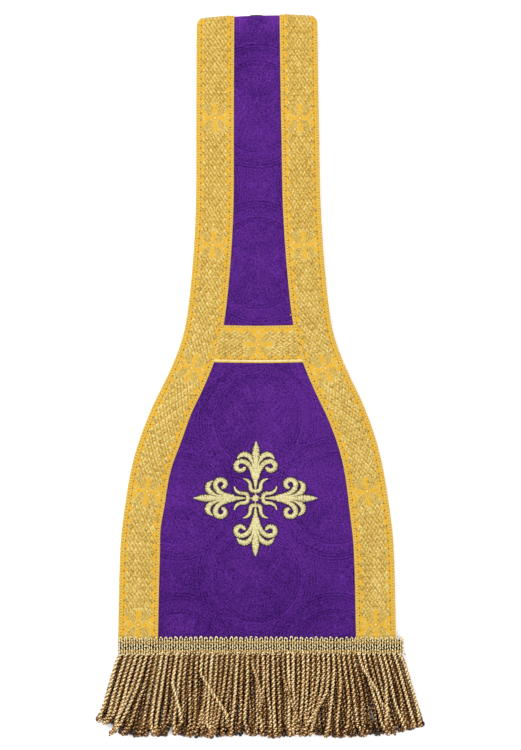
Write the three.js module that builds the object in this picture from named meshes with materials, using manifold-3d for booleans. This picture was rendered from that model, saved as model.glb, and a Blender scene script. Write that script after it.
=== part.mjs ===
// Roman maniple, folded in half at the middle of its band and laid flat. Millimetres, +Z up.
// +Y runs from the fringed hems to the fold, +X across the band. The back leg lies below, the
// front leg on it, and the part rests on the galloons, crossbar and fringe heading of the back leg.
//
// Every piece is drawn on the flat band first: `across` from its centre line, `along` from the
// crest of the fold (positive on the front leg, negative on the back leg) and `out` from the
// middle of the cloth wall. place() then folds that point with the band.

import * as THREE from "three";
import Module from "manifold-3d";

const wasm = await Module();
wasm.setup();

// ---------- driving dimensions ----------

const LEG = 416; // crest of the fold to the hem
const WALL = 2; // damask, interlining and lining, sewn as one cloth
const WALL_EDGE = { inset: 0.5, taper: 3, thick: 1.1 }; // the pressed edge under the galloon
const SEAM = 0.3; // clear room between pieces that are sewn together
const LEG_GAP = 0.6; // between the linings of the two legs

// Half width of the band, galloons included, on the way from the fold to the hem.
const OUTLINE = [
  { along: 0, half: 40.4 },
  { along: 80, half: 41.2 },
  { along: 130, half: 41.9 },
  { along: 170, half: 44.4 },
  { along: 205, half: 48.4 },
  { along: 222, half: 52.7 },
  { along: 240, half: 60 },
  { along: 260, half: 69.7 },
  { along: 280, half: 77.6 },
  { along: 300, half: 83.4 },
  { along: 325, half: 87.9 },
  { along: 355, half: 91.4 },
  { along: 416, half: 93.1 },
];

const GALLOON = { width: 25.3, thick: 0.8 };
const CROSSBAR = { along: 220, width: 24, bow: 0.6 };

// The fold is a soft roll, not a knife crease: it stands higher than the legs and settles on them.
// Seen from above its edge is a shallow arch, lower on the left, and the band drifts that way too.
const FOLD = { radius: 2.7, steps: 8, settle: 45, dip: 2.1, lean: 0.9, fade: 60 };
const DRIFT = { left: 1, fade: 180 };

// Low swells of the front leg, where the cloth doesn't lie quite flat.
const SWELLS = [
  { along: 96, across: -20, height: 0.7, long: 34, wide: 30 },
  { along: 168, across: 24, height: 0.9, long: 30, wide: 24 },
  { along: 228, across: -46, height: 1.1, long: 20, wide: 16 },
  { along: 246, across: 52, height: 1.2, long: 22, wide: 17 },
  { along: 292, across: -66, height: 0.8, long: 26, wide: 20 },
  { along: 300, across: 20, height: 0.8, long: 40, wide: 34 },
  { along: 372, across: 66, height: 0.9, long: 30, wide: 26 },
  { along: 384, across: -28, height: 0.7, long: 28, wide: 38 },
];

// Rows of the cloth between two distances from the fold, closest where the outline turns.
const SPANS = [
  { to: 50, rows: 6 },
  { to: 200, rows: 8 },
  { to: 330, rows: 17 },
  { to: LEG, rows: 5 },
];

// Embroidered cross fleury. One arm points along +Y from the centre, and its strokes are satin
// stitch over padding: `wide` is the width of a stroke on the way from its root to its tip.
const CROSS = { along: 324, across: -1, thick: 1, crown: 0.55, boss: 2.4, tie: 0.9 };
const CROSS_ARMS = [
  { turn: 0, reach: 0.965, spread: 1.04 },
  { turn: 90, reach: 1.03, spread: 0.98 },
  { turn: 180, reach: 0.965, spread: 1.04 },
  { turn: 270, reach: 1.03, spread: 0.98 },
];
const STEM = { from: 5.2, to: 25, wide: [0.5, 2.4, 4, 5, 6.6, 6] };
const SPEAR = { from: 22, to: 39.9, wide: [2.6, 3, 4, 4.8, 4.4, 2.9, 0.4] };
const PETAL = {
  bends: [[0.8, 22.5], [3, 31.5], [8.4, 33.6], [11.7, 28]],
  steps: 6,
  wide: [2, 2.8, 3.2, 3.5, 3.4, 2.6, 0.4],
};
const VOLUTE = {
  bends: [[0.9, 14], [1.6, 20.5], [4.2, 25.8], [8.9, 26.1]],
  bendSteps: 4,
  eye: [9.4, 22.4],
  radius: [3.8, 2.4],
  sweep: [98, -168],
  turnSteps: 8,
  wide: [2.4, 3, 3.2, 3.1, 3.1, 3.2, 3.1, 3, 3, 2.9, 2.7, 2.4, 1.6],
};
const COLLAR = {
  bends: [[0, 4.7], [3.3, 4.3], [2.7, 7.5], [3.2, 9.6]],
  horn: [[3.2, 9.6], [3.6, 11.8], [5.2, 13.2], [7.8, 13.6]],
  steps: 4,
  wide: [2.2, 2.2, 2.2, 2.1, 1.9, 1.5, 0.35],
};

// Small plain cross at the middle of the band: all but one arm's end lies behind the fold.
const FOLD_CROSS = { along: -10.4, arm: 13.4, bar: 8.6, thick: 0.7, across: -0.6 };

// Bullion fringe: a woven heading that holds the roots, and twisted strands below it.
const HEADING = { left: 92.8, right: 95.5, deep: 12.4, thick: 2.9, round: 0.5 };
const STRAND = { half: 1.35, long: 52.4, root: 1, pitch: 3.36, segments: 3, tip: 0.55 };
const FRINGE_SPLAY = { left: 0.148, right: 0.166, sway: 1, wave: 62, billow: 0.7 };
const FRINGE_HEM = { wave: 1.4, pitch: 41, ragged: 1.5, corner: 26, left: 7.5, right: 3.5 };
const FRINGE_ROWS = {
  back: [{ lift: 1.65, stagger: 0, billow: 0 }],
  front: [
    { lift: 4.65, stagger: 0, billow: 1 },
    { lift: 6.25, stagger: 0.5, billow: 1 },
  ],
};

// ---------- worked out from the dimensions ----------

const BACK_Z = GALLOON.thick + SEAM + WALL / 2; // middle of the back leg's wall
const FRONT_Z = BACK_Z + WALL + LEG_GAP;
const ON_CLOTH = WALL / 2 + SEAM; // underside of what is sewn on the cloth
const ARC = (Math.PI / 2) * FOLD.radius; // half of the fold's roll, along the cloth
const SETTLE_DROP = BACK_Z + 2 * FOLD.radius - FRONT_Z;
const { smoothstep, clamp, degToRad, lerp } = THREE.MathUtils;

// ---------- finishes ----------

const finish = (name, color, roughness, metalness) =>
  new THREE.MeshStandardMaterial({ name, color, roughness, metalness });
const DAMASK = finish("damask", 0x522380, 0.72, 0);
const GOLD_BRAID = finish("gold_braid", 0xd4af51, 0.5, 0.25);
const GOLD_THREAD = finish("gold_thread", 0xe0d8a6, 0.45, 0.25);
const BULLION = finish("bullion", 0x9c7c50, 0.45, 0.35);

// ---------- the flat band ----------

// A smooth line through the rows of OUTLINE, with no overshoot between them.
function halfWidth(along) {
  const u = clamp(Math.abs(along), 0, LEG);
  const i = Math.max(1, OUTLINE.findIndex((row) => row.along >= u));
  const slope = (k) => {
    const a = OUTLINE[Math.max(0, k - 1)];
    const b = OUTLINE[Math.min(OUTLINE.length - 1, k + 1)];
    return (b.half - a.half) / (b.along - a.along);
  };
  const a = OUTLINE[i - 1];
  const b = OUTLINE[i];
  const step = b.along - a.along;
  const t = (u - a.along) / step;
  const rise = (t - 1) * (t - 1) * t * step * slope(i - 1) + (t - 1) * t * t * step * slope(i);
  return lerp(a.half, b.half, t * t * (3 - 2 * t)) + rise;
}

// The point of the flat band that lies `inward` of its edge, square to the edge at `along`.
function fromEdge(along, inward) {
  const probe = 0.5;
  const lean = Math.atan((halfWidth(along + probe) - halfWidth(along - probe)) / (2 * probe));
  return {
    across: halfWidth(along) - inward * Math.cos(lean),
    along: clamp(along + inward * Math.sin(lean), -LEG, LEG),
  };
}

// Half of the room between the two galloons at one distance from the fold.
function insideGalloons(along) {
  let edge = along;
  for (let round = 0; round < 20; round += 1) {
    edge += along - fromEdge(edge, GALLOON.width).along;
  }
  return fromEdge(edge, GALLOON.width).across;
}

// Height of the front leg's swells over the flat.
function swell(across, along) {
  const rise = SWELLS.reduce((sum, s) => {
    const far = ((along - s.along) / s.long) ** 2 + ((across - s.across) / s.wide) ** 2;
    return sum + s.height * Math.exp(-far);
  }, 0);
  return rise * smoothstep(along, ARC, FOLD.settle) * (1 - smoothstep(along, LEG - 25, LEG));
}

// Folds a point of the flat band: back leg, roll of the fold, front leg.
function place(across, along, out) {
  const turn = clamp(along / FOLD.radius, -Math.PI / 2, Math.PI / 2);
  const past = Math.max(0, Math.abs(along) - ARC);
  const reach = FOLD.radius + out;
  const q = across / OUTLINE[0].half;
  const dip = (FOLD.dip * q * q - FOLD.lean * q) * (1 - smoothstep(Math.abs(along), 0, FOLD.fade));
  const y = Math.cos(turn) * reach - past - dip;
  let z = BACK_Z + FOLD.radius + Math.sin(turn) * reach;
  if (along > ARC) {
    z += swell(across, along) - SETTLE_DROP * smoothstep(past, 0, FOLD.settle);
  }
  const drift = DRIFT.left * (1 - smoothstep(Math.abs(along), 0, DRIFT.fade));
  return [across - drift, y, z];
}

// Distances from the fold of the cloth's rows, from the back hem to the front hem.
function bandRows() {
  const leg = [];
  let from = ARC;
  for (const span of SPANS) {
    for (let i = 1; i <= span.rows; i += 1) leg.push(from + ((span.to - from) * i) / span.rows);
    from = span.to;
  }
  const roll = Array.from({ length: FOLD.steps + 1 }, (_, i) => ARC * ((2 * i) / FOLD.steps - 1));
  return [...leg.map((u) => -u).reverse(), ...roll, ...leg];
}

// ---------- making solids ----------

function geometryOf(points, triangles) {
  const geometry = new THREE.BufferGeometry();
  geometry.setAttribute("position", new THREE.Float32BufferAttribute(points.flat(), 3));
  geometry.setIndex(triangles.flat());
  return geometry;
}

// A closed sheet over a lattice. point(row, col, level) gives a corner, level 0 on the inner
// face and 1 on the outer one, and has(row, col) says which cells of the lattice it covers.
function sheet(rows, cols, point, has = () => true) {
  const points = [];
  for (const level of [0, 1]) {
    for (const row of rows) {
      for (const col of cols) points.push(point(row, col, level));
    }
  }
  const at = (r, c, level) => (level * rows.length + r) * cols.length + c;
  const full = (r, c) =>
    r >= 0 && c >= 0 && r < rows.length - 1 && c < cols.length - 1 && has(rows[r], cols[c]);
  const triangles = [];
  const quad = (a, b, c, d) => triangles.push([a, b, c], [a, c, d]);
  for (let r = 0; r < rows.length - 1; r += 1) {
    for (let c = 0; c < cols.length - 1; c += 1) {
      if (!full(r, c)) continue;
      const [a, b, d, e] = [[r, c], [r, c + 1], [r + 1, c], [r + 1, c + 1]];
      quad(at(...a, 1), at(...d, 1), at(...e, 1), at(...b, 1));
      quad(at(...a, 0), at(...b, 0), at(...e, 0), at(...d, 0));
      const side = (p, q) => quad(at(...p, 0), at(...q, 0), at(...q, 1), at(...p, 1));
      if (!full(r, c - 1)) side(a, d);
      if (!full(r, c + 1)) side(e, b);
      if (!full(r - 1, c)) side(b, a);
      if (!full(r + 1, c)) side(d, e);
    }
  }
  return geometryOf(points, triangles);
}

// A closed solid through rings of points, each ring counterclockwise seen from the next one.
function loft(rings) {
  const n = rings[0].length;
  const last = (rings.length - 1) * n;
  const triangles = [];
  for (let i = 0; i < rings.length - 1; i += 1) {
    for (let k = 0; k < n; k += 1) {
      const [a, b] = [i * n + k, i * n + ((k + 1) % n)];
      triangles.push([a, b, b + n], [a, b + n, a + n]);
    }
  }
  for (let k = 1; k < n - 1; k += 1) {
    triangles.push([0, k + 1, k], [last, last + k, last + k + 1]);
  }
  return geometryOf(rings.flat(), triangles);
}

function toManifold(geometry) {
  return new wasm.Manifold(
    new wasm.Mesh({
      numProp: 3,
      vertProperties: new Float32Array(geometry.attributes.position.array),
      triVerts: new Uint32Array(geometry.index.array),
    }),
  );
}

// Joins overlapping solids into one.
function fused(geometries) {
  const joined = geometries.map(toManifold).reduce((whole, piece) => whole.add(piece));
  const mesh = joined.getMesh();
  const geometry = new THREE.BufferGeometry();
  const positions = new THREE.Float32BufferAttribute(mesh.vertProperties, mesh.numProp);
  geometry.setAttribute("position", positions);
  geometry.setIndex(Array.from(mesh.triVerts));
  return geometry;
}

const group = new THREE.Group();

function addPiece(name, geometry, material) {
  geometry.computeVertexNormals();
  const mesh = new THREE.Mesh(geometry, material.clone());
  mesh.name = name;
  group.add(mesh);
}

// ---------- the band ----------

function band() {
  const rows = bandRows();
  const cols = [-1, -1 + WALL_EDGE.taper / 40, -0.6, -0.2, 0.2, 0.6, 1 - WALL_EDGE.taper / 40, 1];
  return sheet(rows, cols, (along, col, level) => {
    const thick = Math.abs(col) === 1 ? WALL_EDGE.thick : WALL;
    const across = col * (halfWidth(along) - WALL_EDGE.inset);
    return place(across, along, (level - 0.5) * thick);
  });
}

// ---------- what is sewn on the band ----------

// One galloon runs down a whole edge, over the fold, from hem to hem.
function galloon(side) {
  const inward = [0, GALLOON.width / 2, GALLOON.width];
  if (side > 0) inward.reverse();
  return sheet(bandRows(), inward, (row, inset, level) => {
    const spot = fromEdge(Math.abs(row), inset);
    const along = Math.sign(row) * Math.abs(spot.along);
    return place(side * spot.across, along, ON_CLOTH + level * GALLOON.thick);
  });
}

// The crossbar fills the room between the galloons of one leg.
function crossbar(leg) {
  const half = CROSSBAR.width / 2;
  const rows = [-half, -half / 3, half / 3, half].map((v) => CROSSBAR.along + v);
  const cols = [-1, -0.6, -0.2, 0.2, 0.6, 1];
  if (leg < 0) rows.reverse();
  return sheet(rows, cols, (row, col, level) => {
    const along = row + CROSSBAR.bow * (1 - col * col);
    const across = col * (insideGalloons(along) - SEAM);
    return place(across, leg * along, ON_CLOTH + level * GALLOON.thick);
  });
}

function foldCross() {
  const { along, arm, bar, thick, across } = FOLD_CROSS;
  const roll = bandRows().filter((u) => u > along + bar / 2 && u < along + arm);
  const rows = [along - arm, along - bar / 2, along + bar / 2, ...roll, along + arm];
  const cols = [-arm, -bar / 2, bar / 2, arm];
  const inBar = (start) => start >= -bar / 2 - 1e-9 && start < bar / 2 - 1e-9;
  return sheet(
    rows,
    cols,
    (row, col, level) => place(across + col, row, ON_CLOTH + level * thick),
    (row, col) => inBar(col) || inBar(row - along),
  );
}

// ---------- embroidered cross ----------

// A stroke of satin stitch: a low ridge along a path, as wide as `wide` says on the way.
function stroke(path, wide, arm) {
  const spin = degToRad(arm.turn);
  const rings = path.map(([x, y], i) => {
    const [before, after] = [path[Math.max(0, i - 1)], path[Math.min(path.length - 1, i + 1)]];
    const heading = Math.atan2(after[1] - before[1], after[0] - before[0]);
    const half = wide[i] / 2;
    const profile = [[half, 0], [half * CROSS.crown, 1], [-half * CROSS.crown, 1], [-half, 0]];
    return profile.map(([aside, up]) => {
      const px = (x - Math.sin(heading) * aside) * arm.spread;
      const py = (y + Math.cos(heading) * aside) * arm.reach;
      const turned = [px * Math.cos(spin) - py * Math.sin(spin), px * Math.sin(spin) + py * Math.cos(spin)];
      return [...turned, up * CROSS.thick];
    });
  });
  return loft(rings);
}

const straight = (from, to, count) =>
  Array.from({ length: count }, (_, i) => [0, lerp(from, to, i / (count - 1))]);

function bent(bends, steps) {
  const curve = new THREE.CubicBezierCurve(...bends.map(([x, y]) => new THREE.Vector2(x, y)));
  return curve.getPoints(steps).map((p) => [p.x, p.y]);
}

function volutePath() {
  const entry = bent(VOLUTE.bends, VOLUTE.bendSteps).slice(0, -1);
  const turns = Array.from({ length: VOLUTE.turnSteps }, (_, i) => {
    const t = i / (VOLUTE.turnSteps - 1);
    const angle = degToRad(lerp(VOLUTE.sweep[0], VOLUTE.sweep[1], t));
    const radius = lerp(VOLUTE.radius[0], VOLUTE.radius[1], t);
    return [VOLUTE.eye[0] + radius * Math.cos(angle), VOLUTE.eye[1] + radius * Math.sin(angle)];
  });
  return [...entry, ...turns];
}

// A width table read at `count` even stations.
function widths(table, count) {
  return Array.from({ length: count }, (_, i) => {
    const at = (i / (count - 1)) * (table.length - 1);
    const low = Math.min(table.length - 2, Math.floor(at));
    return lerp(table[low], table[low + 1], at - low);
  });
}

const mirrored = (path) => path.map(([x, y]) => [-x, y]);

function crossArm(arm) {
  const make = (path, table) => stroke(path, widths(table, path.length), arm);
  const petal = bent(PETAL.bends, PETAL.steps - 1);
  const volute = volutePath();
  const horn = [...bent(COLLAR.bends, COLLAR.steps).slice(0, -1), ...bent(COLLAR.horn, COLLAR.steps)];
  return [
    make(straight(STEM.from, STEM.to, STEM.wide.length), STEM.wide),
    make(straight(SPEAR.from, SPEAR.to, SPEAR.wide.length), SPEAR.wide),
    ...[petal, mirrored(petal)].map((path) => make(path, PETAL.wide)),
    ...[volute, mirrored(volute)].map((path) => make(path, VOLUTE.wide)),
    ...[horn, mirrored(horn)].map((path) => make(path, COLLAR.wide)),
    make(straight(0, COLLAR.bends[0][1], 2), [CROSS.tie, CROSS.tie]),
  ];
}

function boss() {
  const sides = 12;
  const ring = (radius, z) =>
    Array.from({ length: sides }, (_, i) => {
      const angle = (2 * Math.PI * i) / sides;
      return [radius * Math.cos(angle), radius * Math.sin(angle), z];
    });
  return loft([ring(CROSS.boss, 0), ring(CROSS.boss * CROSS.crown, CROSS.thick)]);
}

function embroideredCross() {
  const flat = fused([boss(), ...CROSS_ARMS.flatMap(crossArm)]);
  const position = flat.attributes.position;
  for (let i = 0; i < position.count; i += 1) {
    const [x, y, z] = [position.getX(i), position.getY(i), position.getZ(i)];
    position.setXYZ(i, ...place(CROSS.across + x, CROSS.along - y, ON_CLOTH + z));
  }
  return flat;
}

// ---------- fringe ----------

// A repeatable scatter between -1 and 1 for the raggedness of strand i in a row.
const scatter = (i, row) => 2 * ((Math.abs(Math.sin(i * 12.9898 + row * 78.233)) * 43758.5453) % 1) - 1;

function strand(x0, index, row, rowIndex) {
  const hem = -LEG + ARC - SEAM - HEADING.deep;
  const side = x0 < 0 ? FRINGE_SPLAY.left : FRINGE_SPLAY.right;
  const toCorner = x0 < 0 ? x0 + HEADING.left : HEADING.right - x0;
  const corner = (x0 < 0 ? FRINGE_HEM.left : FRINGE_HEM.right) * (1 - smoothstep(toCorner, 0, FRINGE_HEM.corner));
  const wave = FRINGE_HEM.wave * Math.sin((2 * Math.PI * x0) / FRINGE_HEM.pitch);
  const long = STRAND.long - corner + wave + FRINGE_HEM.ragged * scatter(index, rowIndex);
  const rings = [];
  for (let i = 0; i <= STRAND.segments; i += 1) {
    const t = i / STRAND.segments;
    const sway = FRINGE_SPLAY.sway * Math.sin((2 * Math.PI * x0) / FRINGE_SPLAY.wave) * t * t;
    const x = x0 * (1 + side * t) + sway;
    const y = lerp(hem + STRAND.root, hem - long, t);
    const billow = row.billow * FRINGE_SPLAY.billow * Math.sin(Math.PI * t) ** 2;
    const z = row.lift + billow;
    const half = STRAND.half * (i === STRAND.segments ? STRAND.tip : 1);
    rings.push([[x + half, y, z], [x, y, z + half], [x - half, y, z], [x, y, z - half]]);
  }
  return loft(rings);
}

function heading(low) {
  const high = low + HEADING.thick;
  const top = -LEG + ARC - SEAM;
  const profile = [
    [top, low],
    [top, high - HEADING.round],
    [top - HEADING.round, high],
    [top - HEADING.deep + HEADING.round, high],
    [top - HEADING.deep, high - HEADING.round],
    [top - HEADING.deep, low],
  ];
  const end = (x) => profile.map(([y, z]) => [x, y, z]);
  return loft([end(-HEADING.left), end(HEADING.right)]);
}

function fringe(low, rows) {
  const wide = HEADING.left + HEADING.right;
  const strands = rows.flatMap((row, rowIndex) => {
    const count = Math.floor(wide / STRAND.pitch - row.stagger);
    const first = -HEADING.left + (wide - (count - 1) * STRAND.pitch) / 2;
    return Array.from({ length: count }, (_, i) => strand(first + i * STRAND.pitch, i, row, rowIndex));
  });
  return fused([heading(low), ...strands]);
}

// ---------- the maniple ----------

addPiece("band", band(), DAMASK);
addPiece("galloon_left", galloon(-1), GOLD_BRAID);
addPiece("galloon_right", galloon(1), GOLD_BRAID);
addPiece("crossbar_front", crossbar(1), GOLD_BRAID);
addPiece("crossbar_back", crossbar(-1), GOLD_BRAID);
addPiece("cross_front", embroideredCross(), GOLD_THREAD);
addPiece("cross_fold", foldCross(), GOLD_THREAD);
addPiece("fringe_front", fringe(FRONT_Z - WALL / 2, FRINGE_ROWS.front), BULLION);
addPiece("fringe_back", fringe(0, FRINGE_ROWS.back), BULLION);

// The origin is under the middle of the part, on the surface that it rests on.
const bounds = new THREE.Box3().setFromObject(group);
const middle = bounds.getCenter(new THREE.Vector3());
group.position.set(-middle.x, -middle.y, -bounds.min.z);

export default group;
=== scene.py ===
"""A Roman maniple, folded in half and laid flat: a damask band with woven galloons, embroidered
crosses and bullion fringes, dressed round the packed frame.

Points are worked out in millimetres. place() folds the flat band, and in_frame() gives metres."""

import math

import bpy
import numpy as np
from bpy.props import FloatProperty, FloatVectorProperty, IntProperty, PointerProperty
from mathutils import Matrix, Vector


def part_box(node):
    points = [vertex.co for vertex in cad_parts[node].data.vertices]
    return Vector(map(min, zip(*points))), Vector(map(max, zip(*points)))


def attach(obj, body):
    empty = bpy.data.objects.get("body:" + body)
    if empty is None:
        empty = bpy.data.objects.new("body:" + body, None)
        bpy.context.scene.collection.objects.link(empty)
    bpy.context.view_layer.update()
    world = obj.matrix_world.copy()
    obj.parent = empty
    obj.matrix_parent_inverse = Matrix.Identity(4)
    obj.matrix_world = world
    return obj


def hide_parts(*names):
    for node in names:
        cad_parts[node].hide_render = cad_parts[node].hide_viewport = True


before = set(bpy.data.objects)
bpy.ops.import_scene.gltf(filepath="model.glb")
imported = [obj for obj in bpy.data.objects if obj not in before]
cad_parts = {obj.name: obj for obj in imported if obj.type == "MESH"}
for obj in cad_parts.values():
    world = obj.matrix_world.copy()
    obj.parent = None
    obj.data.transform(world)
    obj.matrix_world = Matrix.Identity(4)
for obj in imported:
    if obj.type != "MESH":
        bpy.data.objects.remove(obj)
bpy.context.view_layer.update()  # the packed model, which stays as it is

bl_info = {
    "name": "Roman Maniple",
    "version": (1, 0, 0),
    "blender": (4, 5, 0),
    "location": "View3D > Sidebar > Maniple",
    "description": "Builds a folded Roman maniple with galloons, embroidery and bullion fringe",
    "category": "Object",
}

MM = 0.001
DAYLIGHT = 1.9  # the stage's light on a level sheet; colours are given as they look in it

# ---------- the cut of the band, in millimetres ----------

LEG = 416  # crest of the fold to the hem
WALL = 2  # damask, interlining and lining
LEG_GAP = 0.6
EDGE_INSET = 0.5
OUTLINE = np.array([
    # distance from the fold, half width
    (0, 40.4), (80, 41.2), (130, 41.9), (170, 44.4), (205, 48.4), (222, 52.7), (240, 60),
    (260, 69.7), (280, 77.6), (300, 83.4), (325, 87.9), (355, 91.4), (416, 93.1),
])
HEM_LAP = 3.4  # cloth below the hem line, under the fringe's heading
BRAID_WIDE = 25.3
BRAID_SPREAD = {"wider": 1.5, "from": 280, "to": 340}  # the galloon eases out towards the hem
LEFT_EASE = ((278, 1.7, 20), (340, -1.0, 13))  # where the left one lies wider: along, wider, reach
CROSSBAR = {"along": 220.4, "width": 25, "bow": 0.6, "tuck": 3}

# The roll of the fold, how its crest dips to both sides and how its corners are rounded.
FOLD = {
    "radius": 2.7, "settle": 45, "dip": 2.1, "lean": 0.9, "fade": 60,
    "corner": 3.2, "corner_from": 0.92, "corner_fade": 13,
}
DRIFT = {"left": 1, "fade": 180, "low": 1, "from": 240, "to": 320}

# Low swells of the front leg: along, across, height, length, width.
SWELLS = (
    (96, -20, 0.7, 34, 30), (168, 24, 0.9, 30, 24), (228, -46, 1.1, 20, 16),
    (246, 52, 1.2, 22, 17), (292, -66, 0.8, 26, 20), (300, 20, 0.8, 40, 34),
    (372, 66, 0.9, 30, 26), (384, -28, 0.7, 28, 38),
)
SWELL_FADE = 25  # they end this far above the hem

# Soft creases: along, across, turn from the band's direction in degrees, length, width, height.
CREASES = (
    (199, -35, 74, 9, 3, -0.2), (226, -42, 66, 9, 3.2, 0.22), (248, -51, 66, 9, 3, -0.22),
    (271, -61, 70, 9, 3, 0.2), (203, 36, -74, 9, 3, 0.22), (231, 45, -66, 9, 3.2, -0.22),
    (254, 55, -66, 9, 3, 0.22), (275, 63, -70, 9, 3, -0.2), (340, -68, 88, 7, 1.4, -0.5),
    (174, -12, 24, 26, 6, -0.3), (188, 14, -18, 22, 5, 0.25), (120, 8, 10, 30, 7, -0.2),
    (352, 40, 34, 30, 8, -0.3), (378, -52, -28, 26, 7, 0.3), (392, 10, 70, 34, 7, -0.25),
    (366, -24, 20, 26, 6, 0.25), (66, 14, -12, 30, 7, 0.2), (42, -18, 20, 22, 7, -0.2),
)
CREASE_FADE = (12, 40)  # they grow from none to full between these distances from the fold
# The cloth's ripple beside the galloons; its pitch drifts a little along the band.
PUCKER = {"height": 0.13, "pitch": 7.4, "reach": 6, "drift": 1.7, "drift_pitch": 23, "most": 0.1}

# ---------- worked out ----------

ON_CLOTH = WALL / 2
CLOTH_END = LEG + HEM_LAP
GALLOON_OUT = 2.1  # top of a galloon from the middle of the wall
BACK_Z = GALLOON_OUT
FRONT_Z = BACK_Z + WALL + LEG_GAP
ARC = math.pi / 2 * FOLD["radius"]
SETTLE_DROP = BACK_Z + 2 * FOLD["radius"] - FRONT_Z
BAND_BOX = [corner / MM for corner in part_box("band")]
SHIFT = np.array([
    (BAND_BOX[0].x + BAND_BOX[1].x) / 2,
    BAND_BOX[0].y + LEG - ARC,
    BAND_BOX[0].z - (BACK_Z - WALL / 2),
])


def srgb(red, green, blue):
    """A screen colour, 0 to 255, as Blender's linear one."""
    def linear(value):
        value /= 255
        return value / 12.92 if value <= 0.04045 else ((value + 0.055) / 1.055) ** 2.4
    return (linear(red), linear(green), linear(blue))


# ---------- settings ----------

def length(name, description, millimetres):
    return FloatProperty(
        name=name, description=description, default=millimetres * MM,
        min=0, unit="LENGTH", precision=5,
    )


def colour(name, description, red, green, blue):
    """A colour as it looks in the stage's light."""
    paint = [value / DAYLIGHT for value in srgb(red, green, blue)]
    return FloatVectorProperty(
        name=name, description=description, default=paint,
        size=3, min=0, max=1, subtype="COLOR",
    )


class ClothSettings(bpy.types.PropertyGroup):
    """Damask of the band."""

    shade: colour("Shade", "Deepest colour of the damask", 34, 0, 78)
    light: colour("Light", "Lightest colour of the damask", 121, 54, 175)
    lining: colour("Lining", "Colour of the plain lining", 62, 34, 104)
    medallion_wide: length("Medallion width", "From one medallion to the next, across", 104)
    medallion_tall: length("Medallion height", "From one medallion to the next, along", 105)
    grid: length("Mesh step", "Distance between the rows of the cloth's mesh", 2.6)


class BraidSettings(bpy.types.PropertyGroup):
    """Woven galloon."""

    ground: colour("Ground", "Plain silk between the lozenges", 250, 194, 50)
    lozenge: colour("Lozenge", "Pale gilt thread of the lozenges", 238, 212, 118)
    # spark is also the painted highlight of the weave. shadow is its painted shade, and also the
    # dark of its leaves, beads and needle holes.
    spark: colour("Spark", "Brightest gilt threads", 262, 252, 204)
    shadow: colour("Shadow", "Sunken threads of the weave", 164, 122, 26)
    leaf: colour("Leaf", "Pale thread of the leaves round the woven crosses", 240, 226, 144)
    lozenge_across: length("Lozenge width", "Lozenge centres across the galloon", 4.96)
    lozenge_along: length("Lozenge height", "Lozenge centres along the galloon", 7.5)
    stitch_pitch: length("Stitch pitch", "Machine stitches of the seams", 4.6)
    stitch_colour: colour("Stitch", "Sewing thread", 228, 180, 76)


class EmbroiderySettings(bpy.types.PropertyGroup):
    """Satin stitch of the crosses."""

    thread: length("Thread", "Thickness of the gilt thread", 0.42)
    pitch: length("Thread pitch", "Distance between neighbouring threads", 0.42)
    light: colour("Light", "Lit gilt thread", 278, 266, 202)
    shade: colour("Shade", "Gilt thread in shade", 122, 94, 40)
    # A painted shadow: the dark purple cloth round the stitches.
    darkening: colour("Sunk cloth", "Damask pulled down round the stitches", 30, 8, 60)


class FringeSettings(bpy.types.PropertyGroup):
    """Bullion fringe and its woven heading."""

    pitch: length("Strand pitch", "Distance between the strands of a row", 3.36)
    ply: length("Ply", "Thickness of one of a strand's two plies", 1.34)
    lead: length("Twist", "Length of one full turn of a strand", 5.8)
    # gilt and bronze are lit and shaded copies of the wrapping. core is the real brown core, and
    # also the painted shade where a ply dives and between the heading's threads.
    gilt: colour("Gilt", "Brightest gilt wrapping of the strands", 282, 260, 200)
    bronze: colour("Bronze", "Gilt wrapping that is turned from the light", 208, 134, 32)
    core: colour("Core", "Brown core that shows between the wrapping", 34, 14, 0)
    heading: colour("Heading", "Gimp thread of the heading", 280, 262, 204)
    cord: colour("Cord", "Golden cords laid through the heading", 216, 164, 60)
    seed: IntProperty(name="Seed", description="Raggedness of the strands", default=7, min=0)


class StageSettings(bpy.types.PropertyGroup):
    """Floor, light and camera."""

    floor: FloatProperty(
        name="Floor", description="Paleness of the floor", default=0.95,
        min=0, max=1, subtype="FACTOR",
    )
    sky: FloatProperty(
        name="Sky", description="Even light from all round", default=1.35, min=0
    )
    softbox: FloatProperty(
        name="Softbox", description="Light from the side", default=26.0, min=0, unit="POWER"
    )
    distance: FloatProperty(
        name="Camera height", description="Camera above the cloth", default=2.0, unit="LENGTH"
    )


# ---------- arithmetic on sockets ----------

class Wire:
    """A socket that adds Math nodes when it is used in an expression."""

    def __init__(self, nodes, socket):
        self.nodes = nodes
        self.socket = socket

    def join(self, operation, first, *rest):
        values = dict(enumerate((first, *rest)))
        return self.nodes.add("ShaderNodeMath", {"operation": operation}, values)

    def __add__(self, other):
        return self.join("ADD", self, other)

    def __radd__(self, other):
        return self.join("ADD", other, self)

    def __sub__(self, other):
        return self.join("SUBTRACT", self, other)

    def __rsub__(self, other):
        return self.join("SUBTRACT", other, self)

    def __mul__(self, other):
        return self.join("MULTIPLY", self, other)

    def __rmul__(self, other):
        return self.join("MULTIPLY", other, self)

    def __truediv__(self, other):
        return self.join("DIVIDE", self, other)

    def __rtruediv__(self, other):
        return self.join("DIVIDE", other, self)

    def __pow__(self, other):
        return self.join("POWER", self, other)

    def __abs__(self):
        return self.join("ABSOLUTE", self)


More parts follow.
